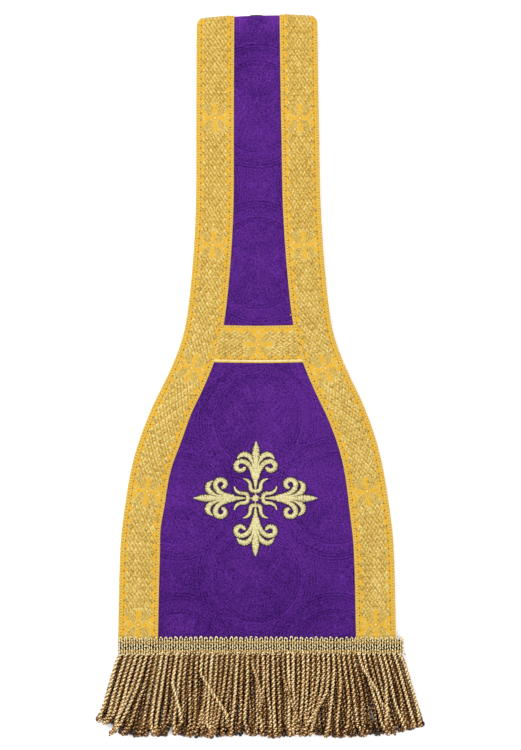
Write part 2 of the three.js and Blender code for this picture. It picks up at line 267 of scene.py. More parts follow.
class Nodes:
    """Adds nodes to one tree."""

    def __init__(self, tree):
        self.tree = tree

    def add(self, kind, settings=None, values=None, output=0):
        node = self.tree.nodes.new(kind)
        for name, value in (settings or {}).items():
            setattr(node, name, value)
        for key, value in (values or {}).items():
            if isinstance(value, Wire):
                self.tree.links.new(value.socket, node.inputs[key])
            else:
                node.inputs[key].default_value = value
        return Wire(self, node.outputs[output])

    def split(self, vector):
        """The three numbers of a vector."""
        node = self.add("ShaderNodeSeparateXYZ", values={0: vector}).socket.node
        return [Wire(self, output) for output in node.outputs]

    def attribute(self, name, output="Fac"):
        return self.add("ShaderNodeAttribute", {"attribute_name": name}, output=output)

    def noise(self, size, detail=2.0, rough=0.5, stretch=(1, 1, 1)):
        """Noise from 0 to 1 with marks about `size` millimetres wide, on Object coordinates."""
        spread = self.add("ShaderNodeVectorMath", {"operation": "MULTIPLY"}, {
            0: self.add("ShaderNodeTexCoord", output="Object"), 1: stretch,
        })
        return self.add("ShaderNodeTexNoise", values={
            "Vector": spread, "Scale": 1 / (size * MM), "Detail": detail, "Roughness": rough,
        })

    def mix(self, share, first, second):
        """A colour between two others."""
        ends = [c if isinstance(c, Wire) else (*c, 1) for c in (first, second)]
        values = {0: share, 6: ends[0], 7: ends[1]}
        return self.add("ShaderNodeMix", {"data_type": "RGBA"}, values, output=2)

    def bump(self, height, distance):
        """A normal from a height of 0 to 1 that stands for `distance` millimetres."""
        return self.add("ShaderNodeBump", values={"Height": height, "Distance": distance * MM})


# These work on arrays, for relief, and on sockets, for colours, so a pattern is written once.

def eased(value, low, high):
    """0 at low, 1 at high and soft between; low may be the larger."""
    if isinstance(value, Wire):
        values = {"Value": value, "From Min": low, "From Max": high}
        return value.nodes.add("ShaderNodeMapRange", {"interpolation_type": "SMOOTHSTEP"}, values)
    share = np.clip((value - low) / (high - low), 0, 1)
    return share * share * (3 - 2 * share)


def nearest(value):
    return value.join("ROUND", value) if isinstance(value, Wire) else np.floor(value + 0.5)


def larger(first, second):
    if isinstance(first, Wire):
        return first.join("MAXIMUM", first, second)
    return np.maximum(first, second)


def smaller(first, second):
    return first + second - larger(first, second)


def sine(value):
    return value.join("SINE", value) if isinstance(value, Wire) else np.sin(value)


def from_repeat(value, pitch):
    """Signed distance to the nearest whole number of pitches."""
    share = value / pitch
    return (share - nearest(share)) * pitch


def turned(ahead, beside, degrees):
    """A place seen along and across a direction that is turned by degrees."""
    spin = math.radians(degrees)
    run = ahead * math.cos(spin) + beside * math.sin(spin)
    return run, beside * math.cos(spin) - ahead * math.sin(spin)


def waves(value, pitch):
    """Waves of 0 to 1, one for every pitch."""
    return 0.5 + 0.5 * sine(value * (2 * math.pi / pitch))


# ---------- the flat band and its fold ----------

def half_width(along):
    """Half width of the band, galloons included, through the rows of OUTLINE."""
    reach, half = OUTLINE.T
    u = np.clip(np.abs(along), 0, LEG)
    i = np.clip(np.searchsorted(reach, u), 1, len(reach) - 1)

    def slope(k):
        before, after = np.maximum(k - 1, 0), np.minimum(k + 1, len(reach) - 1)
        return (half[after] - half[before]) / (reach[after] - reach[before])

    step = reach[i] - reach[i - 1]
    t = (u - reach[i - 1]) / step
    rise = (t - 1) ** 2 * t * step * slope(i - 1) + (t - 1) * t * t * step * slope(i)
    return half[i - 1] + (half[i] - half[i - 1]) * t * t * (3 - 2 * t) + rise


def from_edge(along, inward):
    """Across and along of the point that lies inward of the band's edge, square to it."""
    lean = np.arctan(half_width(along + 0.5) - half_width(along - 0.5))
    across = half_width(along) - inward * np.cos(lean)
    return across, np.clip(along + inward * np.sin(lean), -CLOTH_END, CLOTH_END)


def braid_scale(along, side=1):
    """How much wider the galloon lies than its own weave."""
    wider = BRAID_SPREAD["wider"] * eased(np.abs(along), BRAID_SPREAD["from"], BRAID_SPREAD["to"])
    for at, extra, reach in LEFT_EASE if side < 0 else ():
        wider = wider + extra * np.exp(-((np.abs(along) - at) / reach) ** 2)
    return 1 + wider / BRAID_WIDE


def inside_galloons(along):
    """Half of the room between the galloons."""
    edge = np.array(along, float)
    for _ in range(20):
        edge = edge + along - from_edge(edge, BRAID_WIDE * braid_scale(edge))[1]
    return from_edge(edge, BRAID_WIDE * braid_scale(edge))[0]


def swell(across, along):
    """How far the low swells lift the front leg."""
    rise = 0
    for at, aside, height, long, wide in SWELLS:
        rise = rise + height * np.exp(-((along - at) / long) ** 2 - ((across - aside) / wide) ** 2)
    return rise * eased(along, ARC, FOLD["settle"]) * eased(along, LEG, LEG - SWELL_FADE)


def creases(across, along):
    """How far soft creases lift the cloth. On the back leg they only draw it up from the floor."""
    rise = 0
    for at, aside, turn, long, wide, height in CREASES:
        run, off = turned(np.abs(along) - at, across - aside, turn)
        rise = rise + height * np.exp(-((run / long) ** 2) - (off / wide) ** 2)
    rise = rise * eased(np.abs(along), *CREASE_FADE)
    return np.where(along < 0, np.minimum(rise, 0), rise)


def in_frame(points):
    """Millimetres of the laid band as metres in the frame."""
    return (points + SHIFT) * MM


def place(across, along, out):
    """Folds points of the flat band, into metres. out is from the middle of the wall."""
    across, along, out = np.broadcast_arrays(
        np.asarray(across, float), np.asarray(along, float), np.asarray(out, float)
    )
    out = out + creases(across, along)
    radius = FOLD["radius"]
    turn = np.clip(along / radius, -math.pi / 2, math.pi / 2)
    past = np.maximum(0, np.abs(along) - ARC)
    q = across / OUTLINE[0][1]
    dip = (FOLD["dip"] * q * q - FOLD["lean"] * q) * eased(np.abs(along), FOLD["fade"], 0)
    corner = np.clip((np.abs(q) - FOLD["corner_from"]) / (1 - FOLD["corner_from"]), 0, 1) ** 2
    dip = dip + FOLD["corner"] * corner * eased(np.abs(along), FOLD["corner_fade"], 0)
    y = np.cos(turn) * (radius + out) - past - dip
    z = BACK_Z + radius + np.sin(turn) * (radius + out)
    front = swell(across, along) - SETTLE_DROP * eased(past, 0, FOLD["settle"])
    z = z + np.where(along > ARC, front, 0)
    drift = DRIFT["left"] * eased(np.abs(along), DRIFT["fade"], 0)
    drift = drift + DRIFT["low"] * eased(np.abs(along), DRIFT["from"], DRIFT["to"])
    return in_frame(np.stack([across - drift, y, z], axis=-1))


def band_rows(front_step, back_step, roll_steps=20):
    """Distances from the fold, from the back hem over the roll to the front hem."""
    def leg(step):
        return np.linspace(ARC, CLOTH_END, max(2, round((CLOTH_END - ARC) / step)))[1:]
    roll = np.linspace(-ARC, ARC, roll_steps)
    return np.concatenate([-leg(back_step)[::-1], roll, leg(front_step)])


def run_along(path):
    """Distance along a path at each of its points."""
    return np.concatenate([[0], np.cumsum(np.linalg.norm(np.diff(path, axis=0), axis=1))])


def headings(path):
    """Unit directions along a path."""
    ahead = np.gradient(path, axis=0)
    return ahead / np.linalg.norm(ahead, axis=1)[:, None]


def dome(count):
    """Places from -1 to 1 across a low dome, and its height at each."""
    aside = np.sin(np.linspace(-math.pi / 2, math.pi / 2, count))
    return aside, (1 - aside ** 2) ** 0.5


# ---------- materials and meshes ----------

def new_material(name, roughness, metallic=0.0, gloss=0.25):
    """A material, its nodes and its principled shader."""
    material = bpy.data.materials.new(name)
    material.use_nodes = True
    shader = material.node_tree.nodes["Principled BSDF"]
    shader.inputs["Roughness"].default_value = roughness
    shader.inputs["Metallic"].default_value = metallic
    shader.inputs["Specular IOR Level"].default_value = gloss
    return material, Nodes(material.node_tree), shader


def feed(nodes, shader, **sockets):
    """Links wires to the shader's sockets; an underscore in a name stands for a space."""
    for name, wire in sockets.items():
        nodes.tree.links.new(wire.socket, shader.inputs[name.replace("_", " ")])


def dimmed(paint, share):
    return tuple(share * value for value in paint)


def plain_material(name, paint, depth, size, roughness=0.7, relief=0.1, stretch=(1, 1, 1)):
    """Matt thread or cloth, dimmed to depth in marks about `size` millimetres wide."""
    material, nodes, shader = new_material(name, roughness)
    speck = nodes.noise(size, 2, 0.6, stretch)
    feed(nodes, shader, Base_Color=nodes.mix(speck, dimmed(paint, depth), paint))
    feed(nodes, shader, Normal=nodes.bump(speck, relief))
    return material


def add_object(name, mesh, *materials):
    for material in materials:
        mesh.materials.append(material)
    piece = bpy.data.objects.new(name, mesh)
    bpy.context.scene.collection.objects.link(piece)
    return piece


def dress(piece, slot, *nodes):
    """The piece rides on the part and stands for the CAD nodes. slot is not used."""
    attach(piece, "root")
    if nodes:
        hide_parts(*nodes)


def mesh_of(name, points, faces):
    """A mesh with its faces turned outwards. faces is a list of index rows."""
    corners = np.concatenate([np.asarray(face).ravel() for face in faces])
    counts = np.concatenate([np.full(len(face), face.shape[1]) for face in faces])
    starts = np.concatenate([[0], np.cumsum(counts)[:-1]])
    mesh = bpy.data.meshes.new(name)
    mesh.vertices.add(len(points))
    mesh.vertices.foreach_set("co", points.astype(np.float32).ravel())
    mesh.loops.add(len(corners))
    mesh.loops.foreach_set("vertex_index", corners.astype(np.int32))
    mesh.polygons.add(len(counts))
    mesh.polygons.foreach_set("loop_start", starts.astype(np.int32))
    mesh.update(calc_edges=True)
    mesh.validate()
    if volume_of(points, faces) < 0:
        mesh.flip_normals()
    mesh.shade_smooth()
    return mesh


def volume_of(points, faces):
    """Six times the volume inside the faces, below zero where they are turned inwards."""
    total = 0
    for face in faces:
        for k in range(1, face.shape[1] - 1):
            a, b, c = points[face[:, 0]], points[face[:, k]], points[face[:, k + 1]]
            total += np.einsum("ij,ij->i", a, np.cross(b, c)).sum()
    return total


def note(mesh, name, values, kind="FLOAT_VECTOR"):
    """Keeps numbers on the mesh's points for its material."""
    field = "vector" if kind == "FLOAT_VECTOR" else "value"
    data = mesh.attributes.new(name, kind, "POINT").data
    data.foreach_set(field, np.asarray(values, np.float32).ravel())


def shell(name, top, under, top_note, under_note, note_name):
    """A closed wall between two lattices with the same rows. The lower may have fewer columns."""
    rows, wide = top.shape[:2]
    narrow = under.shape[1]
    upper = np.arange(rows * wide).reshape(rows, wide)
    lower = np.arange(rows * narrow).reshape(rows, narrow) + rows * wide

    def cells(grid):
        corners = [grid[:-1, :-1], grid[:-1, 1:], grid[1:, 1:], grid[1:, :-1]]
        return np.stack(corners, -1).reshape(-1, 4)

    def wall(a, b):
        return np.stack([a[:-1], a[1:], b[1:], b[:-1]], -1)

    ends = [
        np.concatenate([upper[0][::-1], lower[0]]),
        np.concatenate([upper[-1], lower[-1][::-1]]),
    ]
    quads = np.concatenate([
        cells(upper), cells(lower)[:, ::-1],
        wall(upper[:, 0], lower[:, 0]), wall(lower[:, -1], upper[:, -1]),
    ])
    points = np.concatenate([top.reshape(-1, 3), under.reshape(-1, 3)])
    mesh = mesh_of(name, points, [quads, np.array(ends)])
    notes = np.concatenate([top_note.reshape(-1, 3), under_note.reshape(-1, 3)])
    note(mesh, note_name, notes)
    return mesh


def tube_faces(rows, size, base=0):
    """Walls and end caps of a tube of rings, as rows of point numbers from base on."""
    ids = base + np.arange(rows * size).reshape(rows, size)
    beside = np.roll(ids, -1, 1)
    quads = np.stack([ids[:-1], ids[1:], beside[1:], beside[:-1]], -1).reshape(-1, 4)
    return quads, [ids[0], ids[-1][::-1]]


# ---------- Geometry Nodes ----------

def node_group(name, inputs):
    """A Geometry Nodes tree with named inputs: its nodes, its inputs as wires and their keys."""
    tree = bpy.data.node_groups.new(name, "GeometryNodeTree")
    keys = {}
    for label, kind in {"Geometry": "NodeSocketGeometry", **inputs}.items():
        keys[label] = tree.interface.new_socket(label, in_out="INPUT", socket_type=kind).identifier
    tree.interface.new_socket("Geometry", in_out="OUTPUT", socket_type="NodeSocketGeometry")
    nodes = Nodes(tree)
    source = tree.nodes.new("NodeGroupInput")
    wires = {socket.name: Wire(nodes, socket) for socket in source.outputs if socket.name}
    return nodes, wires, keys


def end_group(nodes, geometry, material):
    """Realize Instances and Set Material, then the group's output."""
    real = nodes.add("GeometryNodeRealizeInstances", values={"Geometry": geometry})
    done = nodes.add("GeometryNodeSetMaterial", values={"Geometry": real, "Material": material})
    output = nodes.tree.nodes.new("NodeGroupOutput")
    nodes.tree.links.new(done.socket, output.inputs[0])


def thread_group():
    """Sweeps a round thread along every chain of edges, as thick as the points' girth says."""
    nodes, inputs, keys = node_group("sweep_threads", {
        "Radius": "NodeSocketFloat", "Sides": "NodeSocketInt", "Material": "NodeSocketMaterial",
    })
    curve = nodes.add("GeometryNodeMeshToCurve", values={"Mesh": inputs["Geometry"]})
    ring = nodes.add("GeometryNodeCurvePrimitiveCircle", values={
        "Resolution": inputs["Sides"], "Radius": 1.0,
    })
    around = nodes.add("GeometryNodeStoreNamedAttribute", {"data_type": "FLOAT_VECTOR"}, {
        "Geometry": ring, "Name": "around", "Value": nodes.add("GeometryNodeInputPosition"),
    })
    girth = nodes.add("GeometryNodeInputNamedAttribute", {"data_type": "FLOAT"}, {"Name": "girth"})
    swept = nodes.add("GeometryNodeCurveToMesh", values={
        "Curve": curve, "Profile Curve": around, "Scale": girth * inputs["Radius"],
        "Fill Caps": True,
    })
    soft = nodes.add("GeometryNodeSetShadeSmooth", values={"Geometry": swept})
    end_group(nodes, soft, inputs["Material"])
    return nodes.tree, keys


def stitch_group():
    """Lays one stitch on every point, along the points' heading and square to their up."""
    nodes, inputs, keys = node_group("lay_stitches", {
        "Length": "NodeSocketFloat", "Radius": "NodeSocketFloat", "Seed": "NodeSocketInt",
        "Material": "NodeSocketMaterial",
    })
    grain = nodes.add("GeometryNodeMeshUVSphere", values={
        "Segments": 6, "Rings": 5, "Radius": 1.0,
    })
    size = nodes.add("ShaderNodeCombineXYZ", values={
        0: inputs["Length"] * 0.5, 1: inputs["Radius"], 2: inputs["Radius"],
    })
    shaped = nodes.add("GeometryNodeTransform", values={"Geometry": grain, "Scale": size})
    soft = nodes.add("GeometryNodeSetShadeSmooth", values={"Geometry": shaped})
    vector = {"data_type": "FLOAT_VECTOR"}
    heading = nodes.add("GeometryNodeInputNamedAttribute", vector, {"Name": "heading"})
    up = nodes.add("GeometryNodeInputNamedAttribute", vector, {"Name": "up"})
    turn = nodes.add("FunctionNodeAxesToRotation", {"primary_axis": "Z", "secondary_axis": "X"}, {
        0: up, 1: heading,
    })
    scale = nodes.add("FunctionNodeRandomValue", {"data_type": "FLOAT"}, {
        2: 0.88, 3: 1.08, "Seed": inputs["Seed"],
    }, output=1)
    laid = nodes.add("GeometryNodeInstanceOnPoints", values={
        "Points": inputs["Geometry"], "Instance": soft, "Rotation": turn, "Scale": scale,
    })
    end_group(nodes, laid, inputs["Material"])
    return nodes.tree, keys


def grown(name, mesh, group, values):
    """The plain mesh that a Geometry Nodes group makes of another mesh, as a new object."""
    tree, keys = group
    carrier = add_object(name + "_guide", mesh)
    modifier = carrier.modifiers.new("grow", "NODES")
    modifier.node_group = tree
    for label, value in values.items():
        modifier[keys[label]] = value
    bpy.context.view_layer.update()
    grown_carrier = carrier.evaluated_get(bpy.context.evaluated_depsgraph_get())
    shape = bpy.data.meshes.new_from_object(grown_carrier)
    carrier.modifiers.remove(modifier)
    bpy.data.objects.remove(carrier)
    bpy.data.meshes.remove(mesh)
    shape.name = name
    if not shape.polygons:
        raise RuntimeError(f"{name} came out empty")
    return add_object(name, shape)


def threads(name, paths, tones, radius, sides, material, girths=None, crests=None):
    """Round threads along paths, given in metres. girths scale the radius on the way."""
    girths = girths or [np.ones(len(path)) for path in paths]
    counts = np.array([len(path) for path in paths])
    starts = np.concatenate([[0], np.cumsum(counts)[:-1]])
    links = np.concatenate([first + np.arange(count - 1) for first, count in zip(starts, counts)])
    guide = bpy.data.meshes.new(name + "_guide")
    guide.vertices.add(counts.sum())
    guide.vertices.foreach_set("co", np.concatenate(paths).astype(np.float32).ravel())
    guide.edges.add(len(links))
    guide.edges.foreach_set("vertices", np.stack([links, links + 1], -1).astype(np.int32).ravel())
    runs = [run_along(path) for path in paths]
    note(guide, "along", np.concatenate(runs) / MM, "FLOAT")
    note(guide, "girth", np.concatenate(girths), "FLOAT")
    note(guide, "tone", np.repeat(tones, counts), "FLOAT")
    note(guide, "crest", np.concatenate(crests or girths), "FLOAT")
    values = {"Radius": radius * MM, "Sides": sides, "Material": material}
    return grown(name, guide, THREADS, values)


# ---------- the cloth ----------

DAMASK = {
    "node": 114,  # distance from the fold of a row of medallions beside the middle
    "wide": 40,  # half axes of a medallion
    "tall": 42,
    "line": 0.42,  # thickness of a ring's line
    "band": (-5, -11),  # the ribbed band, from a medallion's edge
    "rib": 2.6,
    "inside": -14,  # the figures keep within this distance from a medallion's edge
    "between": (7.5, 2),  # size and petals of the rosette between medallions
}
# Rings of a medallion: distance from its edge, strength.
RINGS = ((-0.6, 1.0), (-2.5, 0.85), (-4.4, 0.6), (-11.4, 0.8), (-13.2, 0.6))
# Figures in a medallion, from its middle. Rosettes: distance up, size, petals.
ROSETTES = ((0, 8.2, 4), (17, 4.4, 3), (26, 2.8, 2))
# Leaves: across, up, turn in degrees, half axes.
LEAVES = ((11.5, 6, 40, 8, 2.8), (7.5, 19, 22, 6.5, 2.3), (19, 0, 0, 5, 2.4))


def rosette(x, y, size, petals):
    """A flower with an open middle."""
    far = (x * x + y * y) ** 0.5
    rim = size * (0.7 + 0.3 * sine(x.join("ARCTAN2", x, y) * (2 * petals) + math.pi / 2))
    return eased(far - rim, 1.1, -1.1) * eased(far, size * 0.1, size * 0.3)


def damask_pattern(nodes, settings):
    """Line work, ribs and figures of the damask, 0 to 1 each: round medallions in a half drop."""
    across, along, _ = nodes.split(nodes.attribute("flat", "Vector"))
    wide, tall = settings.medallion_wide / MM, settings.medallion_tall / MM
    x0, x1 = abs(from_repeat(across, wide)), abs(from_repeat(across - wide / 2, wide))
    y0 = abs(from_repeat(along - DAMASK["node"] - tall / 2, tall))
    y1 = abs(from_repeat(along - DAMASK["node"], tall))
    half_wide, half_tall = DAMASK["wide"], DAMASK["tall"]
    middle = ((x0 / half_wide) ** 2 + (y0 / half_tall) ** 2) ** 0.5
    beside = ((x1 / half_wide) ** 2 + (y1 / half_tall) ** 2) ** 0.5
    near = eased(beside - middle, -0.01, 0.01)
    x, y = x0 * near + x1 * (1 - near), y0 * near + y1 * (1 - near)
    off = (smaller(middle, beside) - 1) * ((half_wide + half_tall) / 2)

    rails = 0
    line = DAMASK["line"]
    for at, strength in RINGS:
        darkening = eased(abs(off - at), line * 1.9, line * 0.4)
        raised = eased(abs(off - at - line * 2.2), line * 1.9, line * 0.4)
        rails = (darkening - raised * 0.7) * strength + rails
    outer, inner = DAMASK["band"]
    ribs = waves(along + across * 0.4, DAMASK["rib"])
    band = eased(off, outer, outer - 1) * eased(off, inner, inner + 1) * ribs

    figures = 0
    for lift, size, petals in ROSETTES:
        figures = larger(rosette(x, y - lift, size, petals), figures)
    for aside, lift, turn, long, thin in LEAVES:
        run, over = turned(y - lift, x - aside, turn)
        leaf = (run / long) ** 2 + (over / thin) ** 2
        figures = larger(eased(leaf, 1.3, 0.6) * eased(abs(over), 0.1, 1.0), figures)
    figures = figures * eased(off, DAMASK["inside"], DAMASK["inside"] - 1)
    far_x, far_y = x0 * (1 - near) + x1 * near, y1 * (1 - near) + y0 * near
    between = rosette(far_x, far_y, *DAMASK["between"]) * eased(off, 0.5, 2)
    return rails, band, larger(figures, between)


def damask_material(settings):
    material, nodes, shader = new_material("purple_damask", 0.6, 0.0, 0.04)
    rails, band, figures = damask_pattern(nodes, settings)
    worn = eased(nodes.noise(4, 2, 0.6), 0.3, 0.7)
    grain = nodes.noise(0.62, 3, 0.7)
    slub = nodes.noise(1.0, 2, 0.6)
    crinkle = nodes.noise(3.2, 2, 0.6, (1, 1.4, 1))
    mottle = nodes.noise(26, 2, 0.5)
    across, along, _ = nodes.split(nodes.attribute("flat", "Vector"))
    # Painted sheen: the cloth is painted lighter where it turns over the fold, beside the galloons.
    painted_fold_sheen = eased(abs(along), 17, 4) * eased(abs(across), 3, 13)
    woven = figures * 0.12 + band * 0.09 - rails * 0.19
    share = 0.4 + woven * (0.5 + worn * 0.6) + painted_fold_sheen * 0.3
    share = share + (grain - 0.5) * 2.3 + (slub - 0.5) * 1.2 - eased(abs(along), 350, 392) * 0.1
    share = share + (crinkle - 0.5) * 0.1 + (mottle - 0.5) * 0.45
    feed(nodes, shader, Base_Color=nodes.mix(share, settings.shade, settings.light))
    feed(nodes, shader, Roughness=0.66 - figures * 0.1 + (grain - 0.5) * 0.2)
    height = figures * 0.2 - rails * 0.2 + band * 0.15 + slub * 0.5 + crinkle * 0.25
    feed(nodes, shader, Normal=nodes.bump(height, 0.22))
    return material


CLOTH_COLUMNS = {"count": 57, "crowded": 0.35}  # they stand closer together at the edges
CLOTH_EDGE = {"rounding": 0.62, "reach": 2.6}


def cloth_mesh(settings):
    """The folded wall: damask outside, lining between the legs."""
    step = settings.grid / MM
    rows = band_rows(step, step)
    crowded = CLOTH_COLUMNS["crowded"]
    cols = dome(CLOTH_COLUMNS["count"])[0] * crowded
    cols = cols + np.linspace(-1, 1, len(cols)) * (1 - crowded)
    along = np.repeat(rows[:, None], len(cols), 1)
    across = cols[None, :] * (half_width(rows)[:, None] - EDGE_INSET)
    to_edge = (1 - np.abs(cols))[None, :] * half_width(rows)[:, None]
    thinned = (1 - np.minimum(1, to_edge / CLOTH_EDGE["reach"])) ** 2
    half = WALL / 2 - CLOTH_EDGE["rounding"] * thinned
    room = inside_galloons(np.abs(rows))[:, None] - np.abs(across)
    phase = 2 * math.pi * along / PUCKER["pitch"] + np.sign(across)
    phase = phase + PUCKER["drift"] * np.sin(along / PUCKER["drift_pitch"])
    ripple = PUCKER["height"] * np.sin(phase) * np.exp(-np.abs(room) / PUCKER["reach"])
    top = place(across, along, half + np.minimum(ripple, PUCKER["most"]))
    under = place(across, along, -half)
    flat = np.stack([across, along, np.ones_like(across)], -1)
    mesh = shell("band_cloth", top, under, flat, flat * [1, 1, 0], "flat")
    cells = (top.shape[0] - 1) * (top.shape[1] - 1)
    material_index = np.zeros(len(mesh.polygons), np.int32)
    material_index[cells : 2 * cells] = 1
    mesh.polygons.foreach_set("material_index", material_index)
    return mesh


# ---------- galloons ----------

BRAID = {
    "repeat": 83.5,  # from one woven cross to the next
    "rows": 1.75,  # lozenges on each side of the middle line, in widths
    "reach": 9.5,  # half rows of lozenges on each side of the middle between two crosses
    "line": 0.075,  # half of the ground line between lozenges, in cells
    "arm_along": 10,
    "arm_across": 8.1,
    "stem": 0.98,
    "flare": 1.15,
    "tip": (3.6, 2.3),  # the flare grows between these distances from an arm's point
    "outline": 0.9,
    "leaf": {"along": 4.6, "across": 4.1, "turn": 34, "long": 4.1, "thin": 2.3},
    "bead": 1.35,
    "bead_pitch": 1.8,
    "upper": (250, 150),  # the weave is darker, with stronger strokes and less pale lozenge, towards the fold
    "outer_seam": 3.2,
    "inner_seam": 22.8,
    "rim": 0.8,
}
# How far the ground of the weave, or the middle of a stitch, lies under a galloon's top.
BED = {"galloon": 0.3, "crossbar": 0.5, "stitch": 0.34}
STITCH = {"long": 0.66, "radius": 0.22, "seed": 3}  # long as a share of the pitch
THREAD_END = {
    "bends": ((23.6, 201.9), (22.9, 200.6), (21.9, 200.6), (21.3, 201.6)),
    "radius": 0.33, "points": 12, "lift": 0.5,
}
# Steps of a galloon's mesh in front and behind, and rows over the roll of the fold.
BRAID_STEP = {"fine": 0.62, "hidden": 1.8, "roll": 28}
# Where the woven crosses stand on the front leg: distances from the fold, one repeat apart.
BRAID_MARKS = (69.3, 154.4, 236.8, 319.3, 408.7)


def arm_half(reach, along_arm):
    """Half width of a woven cross's arm: a straight stem, then a flared and pointed tip."""
    start, end = BRAID["tip"]
    stem = BRAID["stem"] + BRAID["flare"] * eased(along_arm, reach - start, reach - end)
    return smaller(stem, reach - along_arm)


def braid_pattern(u, v, side, settings):
    """Masks of the braid from u, across it from its outer edge, and v, along it. side is -1 on the
    left galloon, 1 on the right one and 2 on a crossbar."""
    bar = eased(side, 1.2, 1.8)
    lean = smaller(side, 1)
    wide, tall = settings.lozenge_across / MM, settings.lozenge_along / MM
    mid = u - BRAID_WIDE / 2
    w = from_repeat(v + BRAID["repeat"] / 2, BRAID["repeat"])
    p, q = mid / wide + w / tall, mid / wide - w / tall
    p0, q0 = nearest(p), nearest(q)
    cell = larger(abs(p - p0), abs(q - q0))
    shown = eased(abs(p0 + q0) * 0.5, BRAID["rows"] + 0.01, BRAID["rows"] - 0.01)
    shown = shown * eased(abs(p0 - q0), BRAID["reach"] + 0.01, BRAID["reach"] - 0.01)

    a, b = abs(from_repeat(v, BRAID["repeat"])), abs(mid)
    upright, beam, outline = BRAID["arm_along"], BRAID["arm_across"], BRAID["outline"]
    cross = larger(
        eased(b - arm_half(upright, a), 0.2, -0.2), eased(a - arm_half(beam, b), 0.2, -0.2)
    )
    # A thin pale line runs round the cross's tips.
    around = larger(
        eased(b - arm_half(upright + outline, a), 0.7, 0.3) * eased(a, 6, 7.2),
        eased(a - arm_half(beam + outline, b), 0.7, 0.3) * eased(b, 4.2, 5.4),
    ) * (1 - cross)
    leaf = BRAID["leaf"]
    run, over = turned(a - leaf["along"], b - leaf["across"], leaf["turn"])
    oval = ((run / leaf["long"]) ** 2 + (over / leaf["thin"]) ** 2) ** 0.5
    blade = eased(oval, 1.12, 1.0) * (1 - cross)
    hatch = eased(oval, 0.74, 0.6) * eased(sine(over * (2 * math.pi / 1.4)), 0.1, 0.8)
    rim = eased(abs(oval - 0.92), 0.2, 0.08) * (0.7 + 0.3 * sine(v * 4.3 + mid * 4.3))
    veins = larger(larger(rim, hatch * 0.75), around * 0.8) * (1 - cross)
    shown = shown * (1 - larger(larger(blade, cross), around))

    edge = 0.5 - BRAID["line"]
    lozenge = shown * eased(cell, edge + 0.05, edge - 0.05)
    core = shown * eased(cell, 0.24, 0.1)
    upward, sideways = (p - p0) - (q - q0), (p - p0) + (q - q0)
    # Painted light on each lozenge: a highlight at its two pointed tips, and a painted shade off
    # its middle towards one corner.
    tips = lozenge * eased(abs(upward), 0.25, 0.7)
    painted_lower_shade = shown * eased(((upward - 0.3) ** 2 + (sideways - 0.3) ** 2) ** 0.5, 0.3, 0.12)
    strokes = sine((mid / wide + lean * w / tall) * (4 * math.pi))

    from_rim = smaller(u, BRAID_WIDE - u)
    beads = eased(abs(from_rim - BRAID["bead"]), 0.55, 0.25)
    strung = waves(v, BRAID["bead_pitch"])
    piped = bar * eased(abs(u - BRAID_WIDE + 1.5), 0.8, 0.4)
    seam = larger(
        eased(abs(u - BRAID["inner_seam"]), 0.5, 0.25),
        eased(abs(u - BRAID["outer_seam"]), 0.5, 0.25) * (1 - bar),
    )
    pitch = settings.stitch_pitch / MM
    hole = seam * eased(abs(from_repeat(v - pitch / 2, pitch)), 0.75, 0.3)
    return {
        "lozenge": lozenge, "core": core, "cell": cell, "cells": (p0, q0), "tips": tips,
        "painted_lower_shade": painted_lower_shade, "strokes": strokes, "lattice": shown - lozenge, "blade": blade,
        "veins": veins, "cross": cross, "far": (a * a + b * b) ** 0.5,
        "beads": beads * (1 - piped), "strung": strung, "piped": piped, "hole": hole,
        "rim": eased(from_rim, BRAID["rim"] + 0.2, BRAID["rim"] - 0.2),
    }


def braid_relief(u, v, side, settings):
    """Height of the braid's weave over its ground, in millimetres."""
    woven = braid_pattern(u, v, side, settings)
    pillow = woven["lozenge"] * (1 - 0.8 * woven["cell"])
    rise = 0.26 * pillow + 0.12 * woven["cross"] + 0.1 * woven["veins"] + 0.08 * woven["rim"]
    from_rim = np.minimum(u, BRAID_WIDE - u)
    rise = rise - 0.1 * woven["hole"] - 0.05 * woven["beads"] + 0.12 * woven["piped"]
    return rise - 0.45 * eased(from_rim, 0.45, 0)


